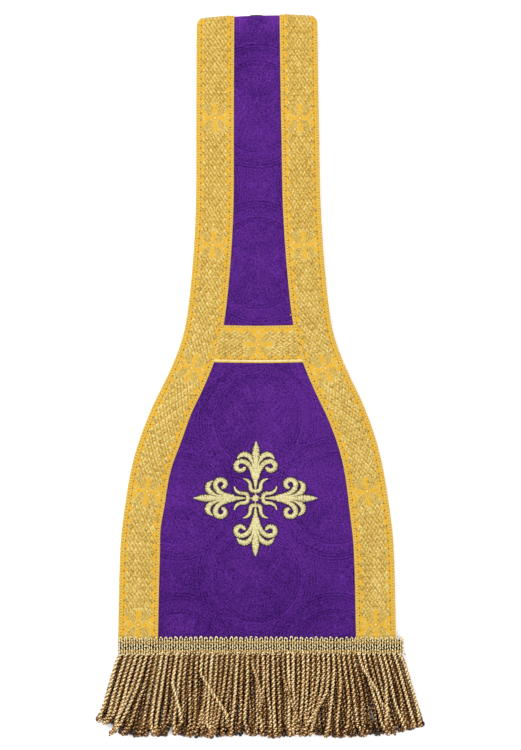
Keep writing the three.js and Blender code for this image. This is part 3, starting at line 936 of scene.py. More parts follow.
def braid_material(settings):
    material, nodes, shader = new_material("gold_galloon", 0.5, 0.2)
    u, v, side = nodes.split(nodes.attribute("weave", "Vector"))
    woven = braid_pattern(u, v, side, settings)
    p0, q0 = woven["cells"]
    cell = nodes.add("ShaderNodeCombineXYZ", values={
        0: p0, 1: q0, 2: nearest(v / BRAID["repeat"]),
    })
    chance = nodes.add("ShaderNodeTexWhiteNoise", {"noise_dimensions": "3D"}, {"Vector": cell})
    grain = nodes.noise(0.7, 2, 0.6)
    slub = nodes.noise(1.4, 2, 0.6)
    cloudy = nodes.noise(17, 2, 0.5)
    rough_light = (grain - 0.5) * 1.2 + (slub - 0.5) * 1.1 + (cloudy - 0.5) * 0.22
    upper = eased(abs(v), *BRAID["upper"]) * eased(side, 1.8, 1.2)
    # glint is partly painted light: the lozenges' tip highlights and their painted shade. At its
    # highest it takes the spark colour as a painted highlight. The rest is pattern and random tone.
    glint = 0.57 + woven["tips"] * 0.26 - woven["core"] * 0.16 - woven["painted_lower_shade"] * 0.26
    glint = glint - upper * 0.07 + (chance - 0.5) * 0.24
    glint = glint + woven["strokes"] * (0.13 + upper * 0.07) + rough_light * 1.1
    gilt = nodes.mix(eased(glint, 0, 0.9), settings.shadow, settings.lozenge)
    gilt = nodes.mix(eased(glint, 0.8, 1.3) * 0.9, gilt, settings.spark)
    # The ground lines between the raised lozenges are painted darker, as shade between them.
    silk_share = 0.8 - woven["lattice"] * 0.36 - woven["blade"] * 0.12 + rough_light * 0.8
    silk = nodes.mix(eased(silk_share, 0, 1), settings.shadow, settings.ground)
    base = nodes.mix(woven["lozenge"] * (0.94 - upper * 0.14), silk, gilt)
    base = nodes.mix(woven["blade"] * (0.2 + rough_light), base, settings.lozenge)
    base = nodes.mix(woven["blade"] * 0.32, base, settings.shadow)
    vein = nodes.mix(eased(0.66 + rough_light * 1.2, 0, 1), settings.shadow, settings.leaf)
    base = nodes.mix(eased(woven["veins"] + (grain - 0.5) * 0.8, 0.15, 0.85) * 0.85, base, vein)
    # A painted shadow ring round the pale middle of each woven cross.
    base = nodes.mix(eased(abs(woven["far"] - 1.1), 0.4, 0.15) * 0.3, base, settings.shadow)
    base = nodes.mix(eased(woven["far"], 0.8, 0.4) * 0.6, base, settings.spark)
    lit = eased(woven["strung"] + (grain - 0.5), 0.2, 0.9)
    base = nodes.mix(woven["beads"] * 0.7, base, nodes.mix(lit, settings.shadow, settings.leaf))
    base = nodes.mix(woven["rim"] * (0.25 + rough_light), base, settings.lozenge)
    base = nodes.mix(woven["piped"] * (0.6 + rough_light), base, settings.spark)
    base = nodes.mix(woven["hole"] * 0.8, base, dimmed(settings.shadow, 0.45))
    feed(nodes, shader, Base_Color=base)
    feed(nodes, shader, Roughness=0.56 - woven["lozenge"] * 0.16 + (grain - 0.5) * 0.2)
    height = woven["lozenge"] * 0.5 + woven["veins"] * 0.4 + woven["cross"] * 0.3 - woven["hole"]
    height = height + waves(u, 0.55) * 0.18 + grain * 0.9
    feed(nodes, shader, Normal=nodes.bump(height, 0.2))
    return material


def braid_across():
    """Stations across a galloon, close together at its edges."""
    rim = np.array([0, 0.15, 0.45, 0.9])
    middle = np.arange(1.5, BRAID_WIDE - 1, BRAID_STEP["fine"])
    return np.concatenate([rim, middle, BRAID_WIDE - rim[::-1]])


def braid_v(along):
    """The braid's own length at a distance from the fold, measured in its woven repeats."""
    repeat = BRAID["repeat"]
    marks = np.array(BRAID_MARKS)
    known = repeat * (np.arange(len(marks)) + 1)
    u = np.abs(along)
    first = known[0] + (u - marks[0]) * repeat / (marks[1] - marks[0])
    last = known[-1] + (u - marks[-1]) * repeat / (marks[-1] - marks[-2])
    inner = np.interp(u, marks, known)
    return np.sign(along) * np.where(u < marks[0], first, np.where(u > marks[-1], last, inner))


def galloon_mesh(name, side, settings):
    rows = band_rows(BRAID_STEP["fine"], BRAID_STEP["hidden"], BRAID_STEP["roll"])
    inward = braid_across()
    wide = braid_scale(rows, side)[:, None]
    across, ahead = from_edge(np.abs(rows)[:, None], inward[None, :] * wide)
    along = np.sign(rows)[:, None] * np.abs(ahead)
    middle = from_edge(np.abs(rows), BRAID_WIDE / 2)[1]
    v = np.repeat(braid_v(np.sign(rows) * middle)[:, None], len(inward), 1)
    u = np.broadcast_to(inward, v.shape)
    out = GALLOON_OUT - BED["galloon"] + braid_relief(u, v, side, settings)
    return braid_shell(name, side * across, along, out, u, v, side)


def braid_shell(name, across, along, out, u, v, side):
    """A braid with its relief on top and its plain back on the cloth."""
    ends = [0, -1]
    top = place(across, along, out)
    under = place(across[:, ends], along[:, ends], ON_CLOTH - 0.1)
    weave = np.stack([u, v, np.full_like(v, side)], -1)
    return shell(name, top, under, weave, weave[:, ends], "weave")


def crossbar_middle(col):
    """Distance from the fold of the crossbar's middle line, col from -1 to 1 across the leg."""
    return CROSSBAR["along"] + CROSSBAR["bow"] * (1 - col * col)


def crossbar_mesh(name, leg, settings):
    u = braid_across() * CROSSBAR["width"] / BRAID_WIDE
    cols = np.linspace(-1, 1, 111)
    ahead = crossbar_middle(cols)[:, None] + u[None, :] - CROSSBAR["width"] / 2
    across = cols[:, None] * (inside_galloons(ahead) + CROSSBAR["tuck"])
    v = across.copy()
    weave_u = np.broadcast_to(u * BRAID_WIDE / CROSSBAR["width"], v.shape)
    out = GALLOON_OUT - BED["crossbar"] + braid_relief(weave_u, v, 2, settings)
    return braid_shell(name, across, leg * ahead, out, weave_u, v, 2)


def seam_points(pitch):
    """Middles, headings and ups of the machine stitches of all galloons and crossbars."""
    fine = np.linspace(0.5, LEG - 0.5, 2400)
    around = (-0.5, 0, 0.5)  # before, on and after the middle of a stitch
    v = braid_v(from_edge(fine, BRAID_WIDE / 2)[1])
    marks = np.arange(math.ceil(v[0] / pitch), math.floor(v[-1] / pitch)) * pitch
    keep = np.interp(marks, v, fine)
    spots = []
    for inward in (BRAID["outer_seam"], BRAID["inner_seam"]):
        for leg in (1, -1):
            for side in (1, -1):
                in_from_edge = inward * braid_scale(keep, side)
                line = [from_edge(keep + step, in_from_edge) for step in around]
                spots.append([(side * across, leg * along) for across, along in line])
    to_seam = BRAID["inner_seam"] * CROSSBAR["width"] / BRAID_WIDE - CROSSBAR["width"] / 2
    half = inside_galloons(CROSSBAR["along"] + to_seam) - 1.5
    x = np.arange(-math.floor(half / pitch), math.floor(half / pitch) + 1) * pitch
    for leg in (1, -1):
        spots.append([
            (x + step, leg * (to_seam + crossbar_middle((x + step) / half))) for step in around
        ])
    level = GALLOON_OUT - BED["stitch"]
    before, at, after = (
        np.concatenate([place(*line[i], level) for line in spots]) for i in (0, 1, 2)
    )
    above = np.concatenate([place(*line[1], level + 1) for line in spots])
    return at, after - before, above - at


# ---------- embroidery ----------

CROSS = {"along": 324, "across": -1, "crown": 1.0, "boss": 2.3, "tie": 0.6}
CROSS_ARMS = (
    # turn, reach, spread
    (0, 0.945, 1.04), (90, 1.03, 0.98), (180, 0.965, 1.04), (270, 1.03, 0.98),
)
STEM = {"from": 6.6, "to": 25, "wide": (0.5, 2, 3.3, 4.6, 6, 5.6)}
SPEAR = {"from": 22, "to": 39.9, "wide": (2.6, 3, 4, 4.8, 4.4, 2.9, 0.4)}
PETAL = {
    "bends": ((0.8, 22.5), (3, 31.5), (8.4, 33.6), (11.7, 28)),
    "wide": (2, 2.8, 3.2, 3.5, 3.4, 2.6, 0.4),
}
VOLUTE = {
    "bends": ((0.9, 14), (1.6, 20.5), (4.2, 25.8), (8.9, 26.1)),
    "eye": (9.4, 22.4),
    "radius": (3.8, 2.4),
    "sweep": (98, -168),
    "points": 72,
    "entry_share": 4 / 12,
    "wide": (2.4, 3, 3.2, 3.1, 3.1, 3.2, 3.1, 3, 3, 2.9, 2.7, 2.4, 1.6),
}
COLLAR = {
    "bends": ((0, 4.9), (2.6, 4.8), (3.5, 6.0), (3.3, 8.2)),
    "horn": ((3.3, 8.2), (3.1, 10.8), (4.6, 13.2), (7.8, 13.7)),
    "wide": (2.3, 2.4, 2.3, 2.1, 1.9, 1.5, 0.35),
}
# Grooves of an arm, between volute and petal and between petal and spear: bends, height. Their dark
# threads are painted shade where the strokes meet.
GROOVES = (
    (((3.5, 26.2), (2.6, 23.4), (1.9, 20.6), (1.5, 16)), 1.16),
    (((2.3, 29), (1.7, 26.6), (1.2, 25), (0.9, 22.6)), 1.2),
)
GROOVE = {"radius": 0.26, "points": 14, "end": 0.45}  # end as a share of the radius
# Bodies under the stitches: how far past the stitches, height as a share of the crown, depth. The
# first and wider one is dark purple cloth, a painted shadow round the stitches.
PADDING = {"cross_front_outline_shadow": (0.75, 0.12, -0.2), "cross_front_padding": (0, 0.9, -0.2)}
PADDING_STEP = 0.9
# Satin stitch: how much a thread's slant and reach vary, and its lift over the padding.
SATIN = {
    "slant": 0.16, "slant_varies": 0.12, "reach": 0.1, "reach_varies": 0.05,
    "lift": 0.06, "lift_varies": 0.05, "full": 1.1, "seed": 11, "sides": 5,
}
FOLD_CROSS = {
    "along": -10.4, "arm": 11.1, "bar": 8.6, "across": -0.6, "crown": 0.45, "varies": 0.03,
    "seed": 5,
}


def bezier(bends, count):
    a, b, c, d = np.array(bends, float)
    t = np.linspace(0, 1, count)[:, None]
    return a * (1 - t) ** 3 + 3 * b * t * (1 - t) ** 2 + 3 * c * t * t * (1 - t) + d * t ** 3


def straight(start, end):
    return np.stack([np.zeros(24), np.linspace(start, end, 24)], -1)


def volute_path():
    """Into the curl along a bend, then round its eye with a shrinking radius."""
    count = VOLUTE["points"]
    entry = bezier(VOLUTE["bends"], round(count * VOLUTE["entry_share"]) + 1)[:-1]
    angle = np.radians(np.linspace(*VOLUTE["sweep"], count - len(entry)))
    radius = np.linspace(*VOLUTE["radius"], len(angle))
    curl = VOLUTE["eye"] + radius[:, None] * np.stack([np.cos(angle), np.sin(angle)], -1)
    return np.concatenate([entry, curl])


def arm_strokes():
    """Strokes of one arm, pointing up: path, widths, and height as a share of the crown."""
    petal = bezier(PETAL["bends"], 40)
    horn = np.concatenate([bezier(COLLAR["bends"], 24)[:-1], bezier(COLLAR["horn"], 24)])
    strokes = [
        (volute_path(), VOLUTE["wide"], 1.12), (petal, PETAL["wide"], 0.98),
        (straight(STEM["from"], STEM["to"]), STEM["wide"], 0.9),
        (straight(SPEAR["from"], SPEAR["to"]), SPEAR["wide"], 1.2),
        (horn, COLLAR["wide"], 0.8),
    ]
    paired = strokes[:2] + strokes[4:]
    mirrored = [(path * [-1, 1], wide, crown) for path, wide, crown in paired]
    thin = straight(CROSS["boss"] - 0.3, COLLAR["bends"][0][1] - 0.6)
    return strokes + mirrored + [(thin, (CROSS["tie"], CROSS["tie"]), 0.35)]


def stations(path, wide, pitch):
    """Even stations along a path: point, unit heading and half width at each."""
    run = run_along(path)
    share = np.linspace(0, 1, len(path))
    at = np.linspace(0, run[-1], max(3, round(run[-1] / pitch)))
    point = np.stack([np.interp(at, run, path[:, k]) for k in (0, 1)], -1)
    width = np.interp(np.interp(at, run, share), np.linspace(0, 1, len(wide)), wide)
    return point, headings(point), width / 2


def on_cross(x, y, turn, reach, spread, out):
    """A point of an arm, in metres."""
    spin = math.radians(turn)
    px, py = x * spread, y * reach
    across = CROSS["across"] + px * math.cos(spin) - py * math.sin(spin)
    up = px * math.sin(spin) + py * math.cos(spin)
    return place(across, CROSS["along"] - up, ON_CLOTH + out)


def all_strokes(pitch):
    """Every stroke of the cross as (stations, crown, arm)."""
    for arm in CROSS_ARMS:
        for path, wide, crown in arm_strokes():
            yield stations(path, wide, pitch), crown * CROSS["crown"], arm
    radius, circle = CROSS["boss"], np.linspace(-1, 1, 15)
    middle = np.stack([0 * circle, circle * radius], -1)
    wide = 2 * radius * (1 - circle ** 2) ** 0.5
    yield stations(middle, wide, pitch), 0.9 * CROSS["crown"], CROSS_ARMS[0]


def padding_mesh(name, grow, crown_share, depth):
    """Low domes under the stitches, one closed body for each stroke."""
    aside, bulge = dome(9)
    points, quads, caps, base = [], [], [], 0
    for (point, heading, half), crown, arm in all_strokes(PADDING_STEP):
        square = np.stack([heading[:, 1], -heading[:, 0]], -1)
        reach = (half + grow)[:, None]
        xy = point[:, None, :] + square[:, None, :] * (aside[None, :] * reach)[:, :, None]
        rise = bulge[None, :] * crown * crown_share * np.minimum(1, half / SATIN["full"])[:, None]
        top = on_cross(xy[..., 0], xy[..., 1], *arm, rise + 0.02)
        low = on_cross(xy[:, [0, -1], 0], xy[:, [0, -1], 1], *arm, depth)
        ring = np.concatenate([top, low[:, ::-1]], 1)
        walls, ends = tube_faces(*ring.shape[:2], base)
        quads.append(walls)
        caps += ends
        points.append(ring.reshape(-1, 3))
        base += len(points[-1])
    return mesh_of(name, np.concatenate(points), [np.concatenate(quads), np.array(caps)])


def satin_paths(pitch):
    """One thread across each stroke at every station, bent over its padding."""
    chance = np.random.default_rng(SATIN["seed"])
    aside, bulge = dome(8)
    paths, tones, crests = [], [], []
    for (point, heading, half), crown, arm in all_strokes(pitch):
        square = np.stack([heading[:, 1], -heading[:, 0]], -1)
        for i in range(len(point)):
            slant = SATIN["slant_varies"] * chance.normal() + SATIN["slant"]
            reach = half[i] * (1 + SATIN["reach_varies"] * chance.normal()) + SATIN["reach"]
            xy = point[i] + aside[:, None] * reach * (square[i] + slant * heading[i])
            rise = bulge * crown * min(1, half[i] / SATIN["full"])
            rise = rise + SATIN["lift"] + SATIN["lift_varies"] * chance.normal()
            paths.append(on_cross(xy[:, 0], xy[:, 1], *arm, np.maximum(rise, 0.03)))
            tones.append(chance.random())
            crests.append(bulge)
    return paths, tones, crests


def groove_paths():
    """Dark lines of painted shade where neighbouring strokes of an arm meet: paths and girths."""
    count = GROOVE["points"]
    paths = []
    for arm in CROSS_ARMS:
        for bends, crown in GROOVES:
            for side in (-1, 1):
                line = bezier(bends, count) * [side, 1]
                height = CROSS["crown"] * crown * np.linspace(1, 0.9, count) - 0.02
                paths.append(on_cross(line[:, 0], line[:, 1], *arm, height))
    return paths, [np.linspace(1, GROOVE["end"], count)] * len(paths)


def gilt_material(settings):
    """Gilt thread, mixed between its lit and shaded colours: bright wrapping with specks of the
    core between its turns, and painted shade where each thread dives to the cloth.
    """
    material, nodes, shader = new_material("gilt_thread", 0.4, 0.25)
    tone, along, crest = (nodes.attribute(name) for name in ("tone", "along", "crest"))
    speck = nodes.noise(0.9, 2, 0.65)
    turns = waves(along, 0.62)
    share = 0.9 + (tone - 0.5) * 0.3 + (speck - 0.5) * 2.8 + (turns - 0.5) * 0.2
    # Painted shade where each thread dives to the cloth at the edges of its stroke.
    share = share - eased(crest, 0.8, 0.2) * 0.8
    feed(nodes, shader, Base_Color=nodes.mix(eased(share, 0, 1), settings.shade, settings.light))
    feed(nodes, shader, Normal=nodes.bump(turns, 0.05))
    return material


# ---------- fringe ----------

HEADING = {
    "left": 93.9, "right": 96.1, "deep": 8.7, "loop": 2.1, "over_galloon": 1.3,
    "drop": 3.2,  # its upper edge lies this far past the hem
    "gimp": 0.5, "cord_share": 0.6, "leg_points": 12,
}
# Unevenness of the gimp: of its places, of its loops, to the side in a leg, up and down in a leg.
GIMP = {"places": 0.16, "loops": 0.25, "aside": 0.22, "weave": 0.3, "waves": 2.5}
# Golden cords laid through the heading: distance from an edge, phase of their waves.
HEADING_CORDS = {"upper": ((-0.9, 0), (-1.9, math.pi)), "lower": ((1.8, 0), (0.8, math.pi))}
STRAND = {
    "long": 53.1, "root": 1.2, "wobble": 0.95, "lift": 0.25,
    "flare": 2.2, "flare_reach": 9, "flare_end": 0.16,  # outwards, near the heading's ends
}
# Twist of the two plies. The last part of a strand opens into a loop with thicker plies, coloured
# darker.
TWIST = {
    "varies": (0.86, 1.16), "girth": (0.9, 1.1), "open": 0.84, "apart": 0.5, "opened": 0.32,
    "thicker": 0.3, "loop": 0.75, "loop_girth": 1.2, "loop_turns": (40, 90, 140), "open_darker": 0.7,
    "clear": 1.16, "opened_clear": 0.5,  # above the floor, in plies
}
SPLAY = {"left": 0.142, "right": 0.152, "sway": 1, "wave": 62, "billow": 0.7}
# Where strands fan out beyond their neighbours: root across, drift to the side, reach of the fan.
FANS = ((-74, -9.5, 9), (-44, 3.5, 6), (-18, -5, 9), (46, -13, 22), (70, 3.5, 7))
FAN = {"sharp": 0.45, "bend": 1.6, "lift": 0.9}  # sharp shortens its reach on one side
HEM = {
    "wave": 0.8, "pitch": 41, "tuft": 1.4, "tufts": 10.5, "ragged": 0.9, "corner": 24,
    "left": 9.5, "right": 7, "curl": 1.7, "curl_from": 0.86,
}
HEM_LINE = -LEG + ARC - HEADING["drop"]  # the heading's upper edge
# Strands that stray over others: root across, drift, start and end as shares of the strand.
STRAYS = (
    (-36.5, 20, 0.3, 0.86), (-53, 8, 0.45, 0.85), (-5, 7, 0.25, 0.75), (16, 9, 0.35, 0.9),
    (47, -10, 0.5, 0.95), (66, 6, 0.3, 0.7), (80, -7, 0.45, 0.9),
)
STRAY_LIFT = 2.1
# Rows of strands: floor below them, height over it, stagger in pitches, billow, steps in a turn,
# sides and thickness of a ply, how much painted shade darkens them under the upper row, strays.
ROWS = {
    "fringe_back_strands": (0, 1.65, 0.25, 0, 6, 5, 1.2, 0.8, ()),
    "fringe_front_middle": (0, 3.2, 0.75, 0, 6, 5, 1.2, 0.8, ()),
    "fringe_front_lower": (FRONT_Z - WALL / 2, 0.95, 0, 1, 9, 6, 1, 0.8, ()),
    "fringe_front_upper": (FRONT_Z - WALL / 2, 2.55, 0.5, 1, 9, 6, 1, 0, STRAYS),
}
ROW_STANDS_FOR = {
    "fringe_back_strands": ["fringe_back"],
    "fringe_front_upper": ["fringe_front"],
}
# Underside and top of the tape behind each heading.
TAPES = {"back": (0.2, 2.2), "front": (FRONT_Z - 0.6, FRONT_Z + 1.3)}


def strand_shape(x0, chance, strays, pitch):
    """How one strand runs: its length, sideways places and extra lift at even shares of its length.
    Only the row with strays fans out, so that the rows below it fill the room."""
    to_corner = x0 + HEADING["left"] if x0 < 0 else HEADING["right"] - x0
    corner = HEM["left" if x0 < 0 else "right"] * eased(to_corner, HEM["corner"], 0)
    wave = HEM["wave"] * math.sin(2 * math.pi * x0 / HEM["pitch"])
    wave += HEM["tuft"] * abs(math.sin(math.pi * x0 / HEM["tufts"]))
    long = STRAND["long"] - corner + wave + HEM["ragged"] * chance.uniform(-1, 1)
    t = np.linspace(0, 1, 200)
    wobble = chance.normal(0, STRAND["wobble"])
    wobble = wobble * np.sin(math.pi * t * chance.uniform(1.2, 2.6) + chance.uniform(0, 6))
    sway = SPLAY["sway"] * math.sin(2 * math.pi * x0 / SPLAY["wave"])
    x = x0 * (1 + SPLAY["left" if x0 < 0 else "right"] * t) + sway * t * t + wobble * t
    flare = math.copysign(STRAND["flare"], x0) * eased(to_corner, STRAND["flare_reach"], 0)
    x = x + flare * eased(t, 0, STRAND["flare_end"])
    lift = STRAND["lift"] * chance.normal() * t
    for at, drift, reach in FANS if strays else ():
        if (x0 - at) * drift < 0:
            reach *= FAN["sharp"]
        share = math.exp(-((x0 - at) / reach) ** 2)
        x = x + drift * share * t ** FAN["bend"]
        lift = lift + FAN["lift"] * share * t
    x = x + HEM["curl"] * chance.normal() * eased(t, HEM["curl_from"], 1)
    for at, drift, start, end in strays:
        if abs(x0 - at) < pitch / 2:
            x = x + drift * np.clip((t - start) / (end - start), 0, 1)
            lift = lift + STRAY_LIFT * eased(t, start - 0.1, start + 0.12)
            long = long * end
    return long, t, x, lift


def strand_paths(settings, low, height, stagger, billow, steps, seed, strays):
    """Two plies twisted round each other, looped at the end, for every strand of a row."""
    chance = np.random.default_rng(seed)
    pitch, lead, ply = settings.pitch / MM, settings.lead / MM, settings.ply / MM
    wide = HEADING["left"] + HEADING["right"]
    count = math.floor(wide / pitch - stagger)
    first = -HEADING["left"] + (wide - (count - 1) * pitch) / 2
    root = HEM_LINE - HEADING["deep"] + STRAND["root"]
    paths, girths, tones, crests = [], [], [], []
    for i in range(count):
        long, shares, sideways, lift = strand_shape(first + i * pitch, chance, strays, pitch)
        t = np.linspace(0, 1, round(long / lead * steps))
        x = np.interp(t, shares, sideways)
        z = low + height + np.interp(t, shares, lift)
        z = z + billow * SPLAY["billow"] * np.sin(math.pi * t) ** 2
        y = root + (HEM_LINE - HEADING["deep"] - long - root) * t
        opened = eased(t, TWIST["open"], 1)
        clear = ply * (TWIST["clear"] + TWIST["opened_clear"] * opened)
        centre = np.stack([x, y, np.maximum(z, clear)], -1)
        heading = headings(centre)
        beside = np.stack([-heading[:, 1], heading[:, 0], np.zeros(len(t))], -1)
        twist = lead * chance.uniform(*TWIST["varies"])
        angle = 2 * math.pi * run_along(centre) / twist + chance.uniform(0, 2 * math.pi)
        swing = (np.cos(angle)[:, None] * beside + np.sin(angle)[:, None] * [0, 0, 1]) * ply
        swing = swing * (TWIST["apart"] + TWIST["opened"] * opened)[:, None]
        bend = np.radians(TWIST["loop_turns"])[:, None]
        ahead = heading[-1] * ply * TWIST["loop"]
        loop = centre[-1] + swing[-1] * np.cos(bend) + ahead * np.sin(bend)
        path = np.concatenate([centre + swing, loop, (centre - swing)[::-1]])
        girth = chance.uniform(*TWIST["girth"]) + TWIST["thicker"] * opened
        paths.append(in_frame(path))
        loop_girth = np.full(len(loop), TWIST["loop_girth"])
        girths.append(np.concatenate([girth, loop_girth, girth[::-1]]))
        # crest is painted light: the ply on top is painted bright and the one beneath dark. The
        # opened end is also made darker.
        lit, darkening = np.sin(angle), TWIST["open_darker"] * opened
        crests.append(np.concatenate([lit - darkening, np.zeros(len(loop)), (-lit - darkening)[::-1]]))
        tones.append(chance.random())
    return paths, girths, tones, crests


def arc(x, y, wide, tall, turns, z):
    """Points of an upright oval at the turns given in degrees, at one height z."""
    angle = np.radians(turns)
    level = np.full(len(angle), z)
    return np.stack([x + wide * np.cos(angle), y + tall * np.sin(angle), level], -1)


def heading_paths(settings, high):
    """Gimp of the woven heading, legs with loops at both ends, and the cords laid through them."""
    chance = np.random.default_rng(settings.seed)
    pitch = settings.pitch / MM
    quarter = pitch / 4
    left, right = -HEADING["left"], HEADING["right"]
    top, bottom = HEM_LINE, HEM_LINE - HEADING["deep"]
    serpent = []
    for i in range(round((right - left) / pitch)):
        x = left + (i + 0.5) * pitch + GIMP["places"] * chance.normal()
        rise = HEADING["loop"] + GIMP["loops"] * chance.normal()
        leg = np.linspace(bottom + 0.4, top, HEADING["leg_points"])
        over = np.linspace(0, 2 * math.pi * GIMP["waves"], len(leg))
        slant = GIMP["aside"] * np.sin(over + chance.uniform(0, 6))
        weave = high + GIMP["weave"] * np.sin(over)
        up = np.stack([x - quarter + slant, leg, weave], -1)
        down = np.stack([x + quarter - slant, leg, weave], -1)[::-1]
        serpent += [
            up, arc(x, top, 1.15 * quarter, rise, (150, 115, 90, 65, 30), high + 0.35),
            down, arc(x + 2 * quarter, bottom, quarter, 0.9, (-150, -90, -30), high),
        ]
    serpent = np.concatenate(serpent)
    paths, girths, tones = [serpent], [0.86 + 0.2 * np.sin(np.arange(len(serpent)) * 1.9)], [1]
    x = np.linspace(left, right, 340)
    for edge, cords in ((top, HEADING_CORDS["upper"]), (bottom, HEADING_CORDS["lower"])):
        for inward, phase in cords:
            y = edge + inward + 0.08 * np.sin(x * 3.1 + phase)
            over = high + 0.2 + GIMP["weave"] * np.sin(x * 2 * math.pi / pitch + phase)
            paths.append(np.stack([x, y, over], -1))
            girths.append(np.full(len(x), HEADING["cord_share"]))
            tones.append(0)
    for path in paths:
        inner = HEADING["left"] - BRAID_WIDE * 1.06
        path[:, 2] += HEADING["over_galloon"] * eased(np.abs(path[:, 0]), inner - 1.5, inner + 1.5)
    return [in_frame(path) for path in paths], girths, tones


def heading_base(name, low, high):
    """The woven tape behind the gimp."""
    top, bottom = HEM_LINE, HEM_LINE - HEADING["deep"]
    half_way = (low + high) / 2
    profile = np.array([
        (top, low), (top + 0.1, half_way), (top, high - 0.25), (top - 0.4, high),
        (bottom + 0.4, high), (bottom, high - 0.25), (bottom - 0.1, half_way), (bottom, low),
    ])
    x = np.linspace(-HEADING["left"], HEADING["right"], 120)
    ring = np.stack([
        np.repeat(x[:, None], len(profile), 1),
        np.repeat(profile[None, :, 0], len(x), 0) + 0.12 * np.sin(x * 1.9)[:, None],
        np.repeat(profile[None, :, 1], len(x), 0),
    ], -1)
    walls, ends = tube_faces(*ring.shape[:2])
    return mesh_of(name, in_frame(ring.reshape(-1, 3)), [walls, np.array(ends)])


def bullion_material(settings):
    """Gilt wrapped round a brown core, with painted light: bright where a ply lies on top, and
    shaded to the core's brown where it dives.
    """
    material, nodes, shader = new_material("bullion_strand", 0.32, 0.3, 0.45)
    x, y, _ = nodes.split(nodes.attribute("around", "Vector"))
    along, tone, crest = (nodes.attribute(name) for name in ("along", "tone", "crest"))
    bearing = x.join("ARCTAN2", y, x)
    wrap = 0.5 + 0.5 * sine(bearing - along * (2 * math.pi / 1.5))
    speck = nodes.noise(1.0, 2, 0.7)
    share = 0.37 + crest * 0.5 + (wrap - 0.5) * 0.6
    share = share + (speck - 0.5) * 3.1 + (tone - 0.5) * 0.45
    wound = nodes.mix(eased(share, 0, 0.65), settings.core, settings.bronze)
    feed(nodes, shader, Base_Color=nodes.mix(eased(share, 0.52, 1.1), wound, settings.gilt))
    feed(nodes, shader, Normal=nodes.bump(wrap + speck * 0.5, 0.14))
    return material


def gimp_material(settings):
    """Pale gimp of the heading, and the golden cords through it."""
    material, nodes, shader = new_material("heading_gimp", 0.34, 0.25, 0.45)
    tone, along = nodes.attribute("tone"), nodes.attribute("along")
    speck = nodes.noise(0.9, 2, 0.65)
    turns = waves(along, 2.1)
    share = 0.76 + (speck - 0.5) * 2.8 + (turns - 0.5)
    lit = nodes.mix(tone, settings.cord, settings.heading)
    wound = nodes.mix(eased(share, -0.1, 0.5), settings.core, settings.cord)
    feed(nodes, shader, Base_Color=nodes.mix(eased(share, 0.2, 0.9), wound, lit))
    feed(nodes, shader, Normal=nodes.bump(turns, 0.1))
    return material


# ---------- operators ----------

class MakeGalloons(bpy.types.Operator):
    """Weaves the two galloons that edge the band from hem to hem"""

    bl_idname = "maniple.make_galloons"
    bl_label = "Galloons"

    def execute(self, context):
        settings = context.scene.maniple_braid
        material = braid_material(settings)
        for side, end in ((-1, "left"), (1, "right")):
            mesh = galloon_mesh(f"galloon_{end}_braid", side, settings)
            dress(add_object(mesh.name, mesh, material), "gold_braid", f"galloon_{end}")
        return {"FINISHED"}


class MakeCrossbars(bpy.types.Operator):
    """Weaves the crossbar of each leg"""

    bl_idname = "maniple.make_crossbars"
    bl_label = "Crossbars"

    def execute(self, context):
        settings = context.scene.maniple_braid
        material = bpy.data.materials["gold_galloon"]
        for leg, end in ((1, "front"), (-1, "back")):
            mesh = crossbar_mesh(f"crossbar_{end}_braid", leg, settings)
            dress(add_object(mesh.name, mesh, material), "gold_braid", f"crossbar_{end}")
        return {"FINISHED"}


class MakeStitches(bpy.types.Operator):
    """Sews the galloons and crossbars down with machine stitches"""

    bl_idname = "maniple.make_stitches"
    bl_label = "Machine stitches"

    def execute(self, context):
        settings = context.scene.maniple_braid
        silk = plain_material("sewing_thread", settings.stitch_colour, 0.7, 0.5, 0.5, 0.08)
        at, heading, up = seam_points(settings.stitch_pitch / MM)
        guide = bpy.data.meshes.new("stitch_guide")
        guide.vertices.add(len(at))
        guide.vertices.foreach_set("co", at.astype(np.float32).ravel())
        note(guide, "heading", heading)
        note(guide, "up", up)
        values = {
            "Length": settings.stitch_pitch * STITCH["long"], "Radius": STITCH["radius"] * MM,
            "Seed": STITCH["seed"], "Material": silk,
        }
        dress(grown("galloon_stitches", guide, STITCHES, values), "gold_thread")
        count, lift = THREAD_END["points"], THREAD_END["lift"]
        across, along = bezier(THREAD_END["bends"], count).T
        out = ON_CLOTH + lift + lift * np.sin(np.linspace(0, math.pi, count))
        path, girth = place(across, along, out), np.linspace(0.7, 1.3, count)
        end = threads("loose_thread_end", [path], [1], THREAD_END["radius"], 6, silk, [girth])
        dress(end, "gold_thread")
        return {"FINISHED"}


class MakeCross(bpy.types.Operator):
    """Embroiders the cross fleury of the front leg in satin stitch over padding"""

    bl_idname = "maniple.make_cross"
    bl_label = "Embroidered cross"

    def execute(self, context):
        settings = context.scene.maniple_embroidery
        # The dark purple sheet round the stitches is a painted shadow.
        darkening = plain_material("painted_shadow_cloth", settings.darkening, 0.6, 1.1)
        # The padding and the grooves take the thread's shade colour: painted shade between the
        # threads and where the strokes meet.
        padding = plain_material("stitch_padding_shade", settings.shade, 0.5, 0.9)
        for (name, sizes), material, slot in zip(
            PADDING.items(), (darkening, padding), ("damask", "gold_thread")
        ):
            dress(add_object(name, padding_mesh(name, *sizes), material), slot)
        paths, tones, crests = satin_paths(settings.pitch / MM)
        satin = threads(
            "cross_front_satin", paths, tones, settings.thread / MM / 2, SATIN["sides"],
            gilt_material(settings), crests=crests,
        )
        dress(satin, "gold_thread", "cross_front")
        lines, girths = groove_paths()
        grooves = threads(
            "cross_front_grooves", lines, [0] * len(lines), GROOVE["radius"], SATIN["sides"],
            padding, girths,
        )
        dress(grooves, "gold_thread")
        return {"FINISHED"}


